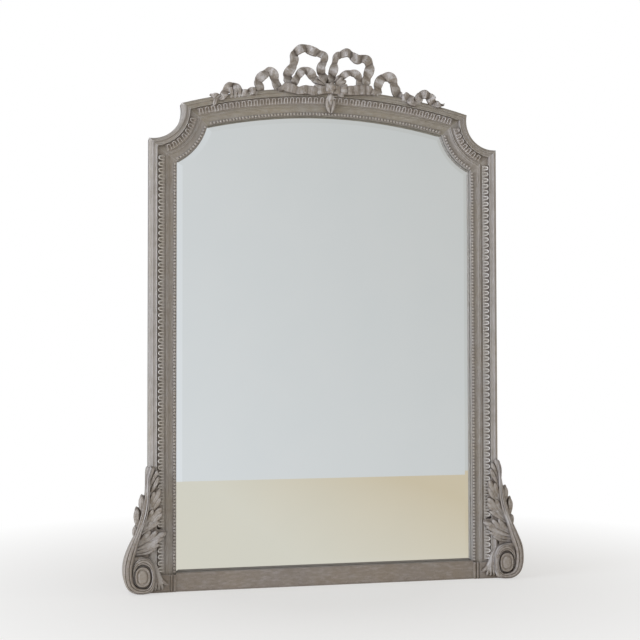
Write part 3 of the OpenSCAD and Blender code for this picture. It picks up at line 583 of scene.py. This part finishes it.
RIBBONS = [
    ("bow_loop_left", BOW_LEFT, 8, 0, RIBBON_Y, FREE),
    ("bow_loop_right", BOW_RIGHT, 8, 40, RIBBON_Y, FREE),
    ("inner_loop_left", INNER_LEFT, 4, 0, RIBBON_Y - 4, FREE),
    ("inner_loop_right", INNER_RIGHT, 4, 90, RIBBON_Y - 4, FREE),
    ("streamer_left", STREAMER_LEFT, 4, 0, RIBBON_Y, FREE),
    ("streamer_right", STREAMER_RIGHT, 4, 120, RIBBON_Y, FREE),
    ("streamer_tail_left", TAIL_LEFT, 6, 0, TAIL_Y, FREE),
    ("streamer_tail_right", TAIL_RIGHT, 6, 90, TAIL_Y, FREE),
    ("crest_base_ribbon", BASE_RIBBON, 12, 0, BASE_RIBBON_Y, FLAT),
]
for node, rows, folds, lead, depth, style in RIBBONS:
    shape = Shape()
    shape.add(*ribbon(rows, folds, lead, depth, *style))
    carved(node, shape, paint_carved)


# Carved fingers, of which leaves are made

FINGER_STEPS = 22
FINGER_SIDES = 13
WIDEST_AT = 0.74


def finger(points, width, height, depth, groove):
    """A rounded finger along points, widest near its tip, which lies on the plane at depth, and its painted
    shade and sheen.
    """
    centre, share = even_rows(points, FINGER_STEPS)
    swell = np.sqrt(np.clip(1 - ((share - WIDEST_AT) / (1 - WIDEST_AT)) ** 2, 0, 1))
    swell = np.where(share < WIDEST_AT, 0.32 + 0.68 * np.sin(share / WIDEST_AT * math.pi / 2) ** 1.3, swell)
    half = np.maximum(width * swell, 0.25)
    lift = height * (0.35 + 0.75 * share) * np.maximum(swell, 0.1) ** 0.7
    angle = np.linspace(0, math.pi, FINGER_SIDES)
    u = np.cos(angle)
    dome = np.sin(angle) ** 0.8 - groove * np.exp(-(u / 0.22) ** 2)
    y = depth - np.clip(dome, 0, None)[None, :] * lift[:, None]
    # Painted shade on the low sides of the finger and on its back, and a painted highlight on its ridge
    # towards the tip.
    low = np.clip(1 - dome / 0.6, 0, 1)[None, :]
    high = np.clip(dome / 0.3 - 2.2, 0, 1)[None, :]
    shade_and_sheen = low - 0.5 * share[:, None] * high
    return with_back(swept(centre, half, u, y), depth + 1.5), with_back_shading(shade_and_sheen)


def add_fingers(shape, fingers, height, depth, groove, layer=0.0):
    """Adds fingers along rows of x and z with a half width, each laid a little over the one before it."""
    for order, (points, width) in enumerate(fingers):
        rows = curve_at(points, np.linspace(0, len(points) - 1, 14))
        shape.add(*finger(rows, width, height, depth - layer * (order % 4), groove))


# The rolls that fill the left tail's curl, and the one that hangs from its end
TAIL_ROLLS = [
    ([(-251, 1338), (-249, 1349), (-250, 1360), (-256, 1369)], 6.5),
    ([(-262, 1336), (-260, 1348), (-261, 1360), (-265, 1370)], 6.5),
    ([(-273, 1336), (-271, 1346), (-272, 1356), (-276, 1366)], 6.5),
    ([(-294, 1346), (-306, 1339), (-315, 1327), (-320, 1312)], 5.5),
]
rolls = Shape()
add_fingers(rolls, TAIL_ROLLS, 9, TAIL_Y + 2, 0.25)
piece("tail_rolls_left", rolls, paint_carved)


# Acanthus leaves on the consoles, right side in millimetres; the left side is its mirror image

STEM = [(548, 92), (536, 124), (520, 160), (503, 202), (496, 242), (495, 275), (494, 305), (487, 336)]
LEAF_INNER = [(522, 98), (496, 106), (478, 117), (467, 130), (471, 137), (481, 141), (464, 148), (448, 160),
              (451, 167), (461, 169), (468, 169), (472, 174), (470, 184), (465, 194), (470, 200), (478, 205),
              (466, 216), (457, 228), (462, 235), (471, 240), (462, 252), (459, 267), (464, 276), (471, 283),
              (479, 289), (475, 304), (474, 320), (480, 333), (486, 338.5)]
LEAF_OUTER = [(551, 96), (541, 122), (532, 146), (530, 164), (531, 181), (526, 187), (529, 204), (531, 220),
              (527, 232), (518, 227), (517, 240), (518, 253), (513, 264), (504, 258), (502, 276), (503, 298),
              (502, 314), (496, 330), (488, 338.5)]
# The lobes, from the lowest upwards and then those outside the stem, each with its half width
LOBES = [
    ([(528, 104), (512, 105), (498, 108), (484, 115), (474, 120)], 5),
    ([(540, 112), (520, 112), (497, 118), (478, 126), (463, 130)], 7),
    ([(538, 116), (518, 122), (498, 130), (482, 137), (466, 140)], 6.5),
    ([(524, 118), (504, 124), (484, 132), (468, 141), (454, 148)], 6.5),
    ([(524, 122), (502, 132), (482, 143), (464, 153), (446, 160)], 8.5),
    ([(526, 126), (508, 136), (492, 147), (480, 157), (471, 167)], 8),
    ([(527, 131), (514, 142), (503, 151), (495, 160), (490, 168)], 8),
    ([(512, 158), (498, 168), (487, 177), (474, 186), (464, 190)], 7),
    ([(510, 164), (500, 174), (491, 184), (484, 193)], 6),
    ([(508, 168), (492, 179), (478, 192), (466, 205), (458, 214)], 7),
    ([(507, 174), (494, 188), (482, 202), (470, 216), (459, 227)], 9),
    ([(504, 184), (496, 198), (488, 212), (482, 224)], 7.5),
    ([(500, 204), (488, 217), (476, 230), (468, 243), (463, 256)], 6.5),
    ([(498, 210), (488, 226), (479, 243), (470, 262), (464, 278)], 8),
    ([(496, 224), (490, 240), (484, 255), (478, 271)], 7.5),
    ([(495, 254), (487, 270), (479, 285), (472, 299), (467, 311)], 6),
    ([(495, 270), (489, 287), (482, 302), (475, 317), (472, 328)], 6.5),
    ([(495, 288), (491, 306), (487, 321), (481, 337)], 6.5),
    ([(528, 138), (531, 154), (531, 168), (528, 181)], 6),
    ([(514, 158), (521, 178), (525, 198), (525, 214), (523, 226)], 8.5),
    ([(502, 196), (508, 214), (512, 232), (512, 248), (510, 259)], 8.5),
]


def leaf_sheet():
    """The thin leaf that lies under the lobes, thickest along the stem."""
    rows = np.linspace(0, 1, 90)
    centre = curve_at(STEM, rows ** 1.3 * (len(STEM) - 1))
    inner = curve_at(LEAF_INNER, rows * (len(LEAF_INNER) - 1))
    outer = curve_at(LEAF_OUTER, rows * (len(LEAF_OUTER) - 1))
    columns = []
    for k in (-1, -0.98, -0.75, -0.5, -0.25, 0, 0.25, 0.5, 0.75, 0.98, 1):
        edge = inner if k < 0 else outer
        lift = 1.0 if abs(k) == 1 else 1.5 + 4.5 * (1 - abs(k)) ** 2
        columns.append(at_depth(centre + (edge - centre) * abs(k), FRONT_Y + 1 - lift))
    return with_back(np.stack(columns, 1), FRONT_Y + 2)


BAND_SIDES = 41
BAND_BACK = 4


def add_band(shape, rows, steps, grooves, roundness=0.55):
    """Adds a rounded band along rows of x, z, depth of its back, half width and height. Each groove along it
    has its place across, its depth and its width."""
    centre = curve_at(rows, np.linspace(0, len(rows) - 1, steps))
    u = np.cos(np.linspace(0, math.pi, BAND_SIDES))
    groove = sum(depth * np.exp(-((u - place) / width) ** 2) for place, depth, width in grooves)
    dome = np.clip(1 - np.abs(u) ** 5, 0, 1) ** roundness - groove
    # Painted shade in the grooves and along both edges of the band.
    shade_and_sheen = np.clip(2.5 * groove, 0, 1) + 0.5 * np.clip(np.abs(u) / 0.15 - 5.4, 0, 1)
    y = -centre[:, 2:3] - np.clip(dome, 0, None)[None, :] * centre[:, 4:5]
    front = swept(centre, centre[:, 3], u, y)
    shape.add(with_back(front, BAND_BACK - centre[:, 2:3]), with_back_shading(np.tile(shade_and_sheen, (steps, 1)), 0.0))


STEM_BACK = 52
STEM_SIZES = [(6.2, 15), (5.8, 15), (5.4, 14), (4.8, 13), (4.2, 12), (3.8, 11), (3.2, 10), (1.8, 8)]
STEM_BAND = [(x, z, STEM_BACK, half, height) for (x, z), (half, height) in zip(STEM, STEM_SIZES)]
acanthus = Shape()
sheet = leaf_sheet()
# The whole leaf under the lobes gets painted shade.
acanthus.add(sheet, np.full(sheet.shape[:2], 0.8))
add_fingers(acanthus, LOBES, 9.5, FRONT_Y - 1, 0.15, 0.6)
add_band(acanthus, STEM_BAND, 60, [(0, 0.35, 0.16)])
carved_pair("console_leaf", acanthus, paint_carved)


# Scroll consoles

EYE_X, EYE_Z = 510, 47
EYE_RX, EYE_RZ = 24.5, 31.5
SCROLL_TOP = 334
SCROLL_MIDDLE = (500, 120)
SCROLL_EDGE = [(495, SCROLL_TOP), (500, 322), (502, 262), (513, 200), (529, 154), (546, 118), (557, 88),
               (561, 60), (557, 30), (543, 8), (520, 0)]
SCROLL_BAND = [(489, 322, 54, 2.5, 3), (494, 290, 55, 4, 6), (501, 246, 55, 5.5, 8),
               (509.5, 203, 55.5, 7, 9), (522, 160, 56, 8.5, 11), (536, 122, 57, 11.5, 13),
               (545.5, 92, 59, 13, 15), (549, 70, 61, 12, 14), (548.5, 48, 61, 12, 14),
               (543, 26.5, 61, 11, 14), (529, 13.2, 61, 9.5, 14), (510, 9.2, 61, 8, 13),
               (494, 12.6, 61, 7, 12), (484, 26, 61, 6, 11.5), (481.5, 48, 61, 5, 11.5),
               (485.5, 70, 61, 6, 11.5), (496, 84, 61, 8, 11.5), (511, 88.5, 61, 8.5, 11.5),
               (525, 81, 61, 7, 10.5), (533, 66, 61, 4, 9), (535, 50, 61, 1.5, 6)]
WHORL_EDGE = [(548, 98), (557, 88), (560.6, 60), (556.6, 30), (543, 8.5), (520, 1), (500, 1), (485, 6),
              (478, 24), (477, 50), (480, 74), (490, 91), (505, 97), (526, 100), (548, 98)]
# How far the body draws in, and what share of the way to the eye the whorl's plate has gone, at each depth
BODY_PROFILE = [(0, -4), (0, -46), (0.8, -48.6), (2.2, -49.8), (5, FRONT_Y)]
WHORL_PROFILE = [(0, FRONT_Y + 1), (0, -60), (0.03, -62), (0.12, -63.2), (0.5, -64), (1, -64), (1, -57)]
# The eye's rings from its rim inwards: a deep groove, a rounded rim, a dished band and a raised oval
EYE_RINGS = [(EYE_RX, EYE_RZ, -63.6), (24, 31, -62), (23.4, 30.4, -58.5), (21.6, 28.4, -58),
             (21.2, 28, -62), (20.8, 27.5, -67), (20, 26.6, -69.6), (18.4, 25, -71.2),
             (16.6, 23, -71.4), (15, 21.2, -70.2), (13.8, 19.8, -69), (12.8, 18.6, -69),
             (11.8, 17.4, -70.4), (10.4, 15.8, -72), (8.4, 13.2, -72.6), (5.4, 9, -72.8),
             (2.6, 4.6, -72.8), (0.6, 1.6, -72.8)]


def oval(scale_x, scale_z, angle):
    """Points of a long oval about the eye: two half circles with straight sides between them."""
    straight = scale_z - scale_x
    x = EYE_X + scale_x * np.cos(angle)
    z = EYE_Z + scale_x * np.sin(angle) + straight * np.tanh(3 * np.sin(angle))
    return np.stack([x, z], 1)


def eye_disc():
    """The oval eye of the whorl."""
    angle = np.linspace(0, 2 * math.pi, 72, endpoint=False)
    return np.stack([at_depth(oval(rx, rz, angle), y) for rx, rz, y in EYE_RINGS])


def scroll_body():
    """The flat body behind the scroll, with a rounded front edge."""
    edge, _ = even_rows(SCROLL_EDGE, 90)
    outline = np.concatenate([[(HALF_W, SCROLL_TOP)], edge, [(HALF_W, 0)]])
    inwards = normals(outline)
    inwards[0] = inwards[-1] = 0
    inwards *= np.sign(np.sum(inwards * (np.array(SCROLL_MIDDLE) - outline), 1))[:, None]
    return np.stack([at_depth(outline + inwards * inset, y) for inset, y in BODY_PROFILE])


def whorl_plate():
    """The raised plate that carries the lower part of the scroll, with a pit for the eye."""
    edge = curve_at(WHORL_EDGE, np.linspace(0, len(WHORL_EDGE) - 1, 120))[:-1]
    pit = oval(EYE_RX, EYE_RZ, np.arctan2(edge[:, 1] - EYE_Z, edge[:, 0] - EYE_X))
    return np.stack([at_depth(edge + (pit - edge) * share, y) for share, y in WHORL_PROFILE])


scroll = Shape()
scroll.add(scroll_body())
scroll.add(whorl_plate())
add_band(scroll, SCROLL_BAND, 260, [(0.48, 0.2, 0.07), (-0.3, 0.22, 0.08)])
scroll.add(eye_disc())
carved_pair("console_scroll", scroll, paint_carved)

FOOT_FINGERS = [
    ([(494, 96), (484, 84), (476, 64), (471, 44), (469, 24), (468, 8)], 11),
    ([(482, 82), (471, 60), (464, 42), (455, 29), (441, 21)], 5.5),
    ([(484, 86), (473, 66), (466, 46), (461, 28), (456, 9)], 5.5),
    ([(488, 92), (477, 74), (470, 52), (467, 30), (466, 7)], 5.5),
    ([(492, 92), (482, 74), (477, 52), (475, 30), (477, 7)], 5.5),
]
foot = Shape()
add_fingers(foot, FOOT_FINGERS[:1], 8, BLOCK_Y + 0.5, 0.0)
add_fingers(foot, FOOT_FINGERS[1:], 11, BLOCK_Y - 2, 0.2, 0.8)
carved_pair("foot_leaf", foot, paint_carved)


# Knot, its leaves and the drop below it

KNOT_X, KNOT_Z = 6, 1376


def petal_dome(depth, radius, height, petals, turn=0.0):
    """A flower-like dome at the knot's place, whose radius and height swell at each petal."""
    angle = np.linspace(0, 2 * math.pi, 12 * petals, endpoint=False)
    lobes = np.cos(petals * (angle + turn))
    rings = []
    for f in np.linspace(0, 1, 12):
        rim = radius * (1 + 0.24 * lobes * (1 - f)) * math.sqrt(max(1 - f ** 2.2, 0.0004))
        lift = height * f * (1 - 0.22 * (1 - lobes) / 2 * (1 - f))
        rings.append(np.stack([KNOT_X + rim * np.cos(angle), depth - lift, KNOT_Z + rim * np.sin(angle)], 1))
    return np.stack(rings)


knot = Shape()
knot.add(petal_dome(KNOT_Y + 1, 14.5, 17, 5))
knot.add(petal_dome(KNOT_Y - 13, 7.5, 6.5, 5, 0.6))
carved("bow_knot", knot, paint_carved)

KNOT_FINGERS = [
    ([(16, 1383), (28, 1394), (40, 1405)], 6), ([(18, 1380), (34, 1389), (50, 1397)], 6.5),
    ([(18, 1377), (36, 1380), (54, 1384)], 6.5), ([(18, 1373), (36, 1369), (54, 1368)], 6.5),
    ([(18, 1370), (30, 1359), (44, 1352)], 6), ([(-6, 1383), (-18, 1394), (-31, 1403)], 5.5),
    ([(-8, 1380), (-24, 1387), (-42, 1393)], 6), ([(-8, 1376), (-24, 1377), (-42, 1379)], 6),
    ([(-6, 1370), (-20, 1364), (-34, 1358)], 5.5),
]
knot_leaves = Shape()
add_fingers(knot_leaves, KNOT_FINGERS, 8, KNOT_Y + 0.5, 0.25)
carved("knot_leaves", knot_leaves, paint_carved)

DROP = [(6.5, 1366, 43, 6, 9), (6.5, 1350, 43, 7.5, 8), (6.5, 1334, 43, 9.5, 6), (6.5, 1322, 43, 10, 5),
        (6.5, 1311, 43, 6, 4), (6.5, 1305, 43, 1, 2)]
DROP_FINGERS = [
    ([(5, 1364), (-1, 1346), (-3, 1328), (5, 1305)], 5.2),
    ([(8, 1364), (14, 1346), (16, 1328), (8, 1305)], 5.2),
    ([(6.5, 1368), (6.5, 1350), (6.5, 1328)], 4.2),
]
pendant = Shape()
add_band(pendant, DROP, 60, [], 0.7)
add_fingers(pendant, DROP_FINGERS, 7, DROP_Y, 0.0, 0.5)
carved("crest_pendant", pendant, paint_carved)


# Tongue strips: one relief sheet along each run of the moulding

STRIP_W = TONGUE_W1 - TONGUE_W0
STRIP_SLOPE = 7
STRIP_MIDDLE = (TONGUE_W0 + TONGUE_W1) / 2
STRIP_Y = -CARCASS_T - TONGUE_BED
STEPS_PER_TONGUE = 20


def tongue_relief(a, w):
    """Height of the ornament above its bed, a along the run from the middle of a tongue and w inwards."""
    radius = 0.38 * TONGUE_PITCH
    reach = np.where(w > radius, np.abs(a), np.hypot(a, w - radius))
    rim = 4.4 * np.exp(-((reach - 4.4) / 1.6) ** 4)
    belly = 1.2 * np.sqrt(np.clip(1 - (reach / 2.4) ** 2, 0, 1)) * np.clip((12 - w) / 5, 0, 1)
    dart = 2.4 * np.clip(1 - (TONGUE_PITCH / 2 - np.abs(a)) / 0.9, 0, 1) * np.clip((w - 7) / 5, 0, 1)
    fillet = 2.8 * np.clip((w - 8) / 7, 0, 1)
    height = np.maximum(np.maximum(rim, belly), np.maximum(dart, fillet))
    return height * np.clip((STRIP_W - w) / 0.5, 0, 1)


def tongue_strip(count, at, shade_strength):
    """A strip of count tongues that slopes down inwards. at places its points along the run, and
    shade_strength is how much painted shade, with glazing, lies between the tongues."""
    along = np.arange(count * STEPS_PER_TONGUE + 1) / STEPS_PER_TONGUE - count / 2
    across = np.concatenate([[0, 0.05, 0.5], np.linspace(1, 15, 15), [15.5, 16, 17, 17.5, STRIP_W]])
    t, w = np.meshgrid(along, across, indexing="ij")
    height = tongue_relief((np.mod(t + 0.5 * (count % 2), 1) - 0.5) * TONGUE_PITCH, w)
    slope = STRIP_SLOPE * (1 - w / STRIP_W)
    height[:, 0] = 0
    slope[:, 0] = -0.5
    x, z = at(t, w)
    # Painted shade on the ground between the tongues and, for strengths over 1, along their inner part; a
    # painted highlight on their tops.
    ground = shade_strength * np.clip(1.1 - height / 1.9, 0, 1)
    foot = 1.5 * max(shade_strength - 1, 0) * np.clip((w - 10) / 4, 0, 1)
    crest = 0.5 * np.clip(height / 2.2 - 1, 0, 1)
    front = np.stack([x, STRIP_Y + 0.3 - height - slope, z], 2)
    shape = Shape()
    shape.add(with_back(front, STRIP_Y + 1.2), with_back_shading(ground + foot - crest))
    return shape


def mitre_side(w):
    """Where the side meets the scoop, w inside the outer edge."""
    return HALF_W - w, NOTCH_Z - math.sqrt((NOTCH_R + w) ** 2 - (NOTCH_OUT + w) ** 2)


def mitre_arch(w):
    """Where the scoop meets the arch, w inside the outer edge."""
    r1, r2, rise = NOTCH_R + w, ARCH_R - w, ARCH_CZ - NOTCH_Z
    d = math.hypot(NOTCH_X, rise)
    a = (r1 * r1 - r2 * r2 + d * d) / (2 * d)
    h = math.sqrt(r1 * r1 - a * a)
    ux, uz = -NOTCH_X / d, rise / d
    return NOTCH_X + a * ux + h * uz, NOTCH_Z + a * uz - h * ux


side_z0 = BLOCK_H + 1
side_z1 = mitre_side(TONGUE_W1)[1] - 2
side_count = int((side_z1 - side_z0) / TONGUE_PITCH)
scoop_a0 = math.asin((NOTCH_X - mitre_arch(TONGUE_W1)[0]) / (NOTCH_R + TONGUE_W1))
scoop_a1 = math.asin((NOTCH_X - mitre_side(TONGUE_W1)[0]) / (NOTCH_R + TONGUE_W1))
scoop_count = int((scoop_a0 - scoop_a1) * (NOTCH_R + STRIP_MIDDLE) / TONGUE_PITCH)
arch_half = math.asin(mitre_arch(TONGUE_W1)[0] / (ARCH_R - TONGUE_W1))
arch_count = int(2 * arch_half * (ARCH_R - STRIP_MIDDLE) / TONGUE_PITCH)


def at_side(t, w):
    return HALF_W - TONGUE_W0 - w + 0 * t, (side_z0 + side_z1) / 2 + t * TONGUE_PITCH + 0 * w


def at_scoop(t, w):
    a = (scoop_a0 + scoop_a1) / 2 + t * TONGUE_PITCH / (NOTCH_R + STRIP_MIDDLE)
    r = NOTCH_R + TONGUE_W0 + w
    return NOTCH_X - r * np.sin(a), NOTCH_Z - r * np.cos(a)


def at_arch(t, w):
    a = t * TONGUE_PITCH / (ARCH_R - STRIP_MIDDLE)
    r = ARCH_R - TONGUE_W0 - w
    return r * np.sin(a), ARCH_CZ + r * np.cos(a)


# The side strips get the lit tongue paint and stronger painted shade between the tongues.
side_strip = tongue_strip(side_count, at_side, 1.7)
carved_pair("tongue_strip", side_strip, paint_tongues_side_lit)
notch_strip = tongue_strip(scoop_count, at_scoop, 1.0)
carved_pair("tongue_strip_notch", notch_strip, paint_tongues)
arch_strip = tongue_strip(arch_count, at_arch, 0.5)
carved("tongue_strip_arch", arch_strip, paint_tongues)


# Studio: floor, world, lamps and camera, in metres

FLOOR_HALF = 30
FLOOR_END_Y = -2.8


def floor_material(name, seen, mirrored):
    """White to the camera but for the object's shadow. In reflections the floor glows in two tones, one on
    the left and one on the right, and ends at FLOOR_END_Y, beyond which the room shows."""
    m = Surface(name)
    path = m.add("ShaderNodeLightPath").outputs
    m.shader.inputs["Base Color"].default_value = seen
    m.shader.inputs["Roughness"].default_value = 0.9
    m.shader.inputs["Specular IOR Level"].default_value = 0.1
    place = m.add("ShaderNodeTexCoord").outputs["Object"]
    across, outwards, _ = m.split(place)
    away = m.add("ShaderNodeVectorMath", operation="LENGTH")
    m.feed(place, away.inputs[0])
    fade = m.ramp(m.math("MULTIPLY", away.outputs["Value"], 0.5), [(0.15, 0.45), (0.8, 1.0)])
    white = m.add("ShaderNodeEmission").outputs[0]
    bright = m.blend(m.math("MULTIPLY", fade, path["Is Camera Ray"]), m.shader.outputs[0], white)
    glow = m.add("ShaderNodeEmission")
    m.feed(m.mix(m.ramp(across, [(0.0, 0.0), (1.0, 1.0)]), *mirrored), glow.inputs["Color"])
    clear = m.add("ShaderNodeBsdfTransparent").outputs[0]
    reflected = m.blend(m.math("LESS_THAN", outwards, FLOOR_END_Y), glow.outputs[0], clear)
    m.feed(m.blend(path["Is Glossy Ray"], bright, reflected), m.output.inputs["Surface"])
    return m.material


mesh = bpy.data.meshes.new("floor")
corners = [(-FLOOR_HALF, -FLOOR_HALF, 0), (FLOOR_HALF, -FLOOR_HALF, 0),
           (FLOOR_HALF, FLOOR_HALF, 0), (-FLOOR_HALF, FLOOR_HALF, 0)]
mesh.from_pydata(corners, [], [(0, 1, 2, 3)])
mesh.materials.append(floor_material("floor_pale", (0.96, 0.93, 0.88, 1),
                                     (srgb(216, 213, 201), srgb(206, 194, 170))))
floor = bpy.data.objects.new("floor", mesh)
bpy.context.scene.collection.objects.link(floor)

world = bpy.data.worlds.new("studio")
world.use_nodes = True
bpy.context.scene.world = world
sky = Tree(world.node_tree)


def background(colour, strength):
    """Even light from all sides, in a plain colour or one from another node."""
    node = sky.add("ShaderNodeBackground")
    sky.feed(colour, node.inputs["Color"])
    node.inputs["Strength"].default_value = strength
    return node.outputs[0]


# The world lights the object in daylight, shows the glass a pale room and shows the camera plain white
DAYLIGHT = (1.0, 0.965, 0.905, 1)
ROOM_SWEEP = [(0.42, srgb(226, 230, 234)), (0.86, srgb(184, 184, 180))]
path = sky.add("ShaderNodeLightPath").outputs
x, _, z = sky.split(sky.add("ShaderNodeTexCoord").outputs["Generated"])
sideways = sky.math("MULTIPLY_ADD", x, 0.5, 0.5)
room = sky.ramp(sky.math("MULTIPLY_ADD", z, 0.3, sideways), ROOM_SWEEP)
shown = sky.blend(z, background(DAYLIGHT, 0.50), background(DAYLIGHT, 0.22))
shown = sky.blend(path["Is Glossy Ray"], shown, background(room, 1.0))
shown = sky.blend(path["Is Camera Ray"], shown, background((1, 1, 1, 1), 1.0))
sky.feed(shown, sky.add("ShaderNodeOutputWorld").inputs["Surface"])


def lamp(name, place, target, size, power, colour):
    """A soft square lamp that neither the camera nor the glass sees."""
    light = bpy.data.lights.new(name, "AREA")
    light.shape = "SQUARE"
    light.size = size
    light.energy = power
    light.color = colour
    obj = bpy.data.objects.new(name, light)
    obj.location = place
    obj.rotation_euler = (Vector(target) - Vector(place)).to_track_quat("-Z", "Y").to_euler()
    obj.visible_camera = False
    obj.visible_glossy = False
    bpy.context.scene.collection.objects.link(obj)


lamp("key", (-5.9, -1.9, 0.9), (0, 0, 0.7), 3.0, 370, (0.88, 0.97, 1.12))
lamp("fill", (-1.6, -5.0, 0.6), (0, 0, 0.6), 2.0, 66, (1.0, 0.98, 0.94))
lamp("side", (5.6, -1.6, 0.9), (0, 0, 0.7), 2.4, 70, (1.0, 0.97, 0.93))

# The photo's own view, in metres and radians
CAMERA_PLACE = Vector((-0.7375, -3.2828, 0.6349))
YAW, PITCH, ROLL = 0.21678883, 0.02867569, -0.00185043
LENS_MM = 67.5
SENSOR_MM = 36
forward = Vector((math.sin(YAW) * math.cos(PITCH), math.cos(YAW) * math.cos(PITCH), math.sin(PITCH)))
right = Vector((math.cos(YAW), -math.sin(YAW), 0))
up = right.cross(forward)
right_rolled = math.cos(ROLL) * right + math.sin(ROLL) * up
up_rolled = math.cos(ROLL) * up - math.sin(ROLL) * right
camera = bpy.data.cameras.new("camera")
camera.sensor_width = SENSOR_MM
camera.lens = LENS_MM
camera.clip_end = 100
camera_object = bpy.data.objects.new("camera", camera)
bpy.context.scene.collection.objects.link(camera_object)
turn = Matrix((right_rolled, up_rolled, -forward)).transposed().to_4x4()
camera_object.matrix_world = Matrix.Translation(CAMERA_PLACE) @ turn
bpy.context.scene.camera = camera_object
bpy.context.scene.view_settings.view_transform = "Standard"
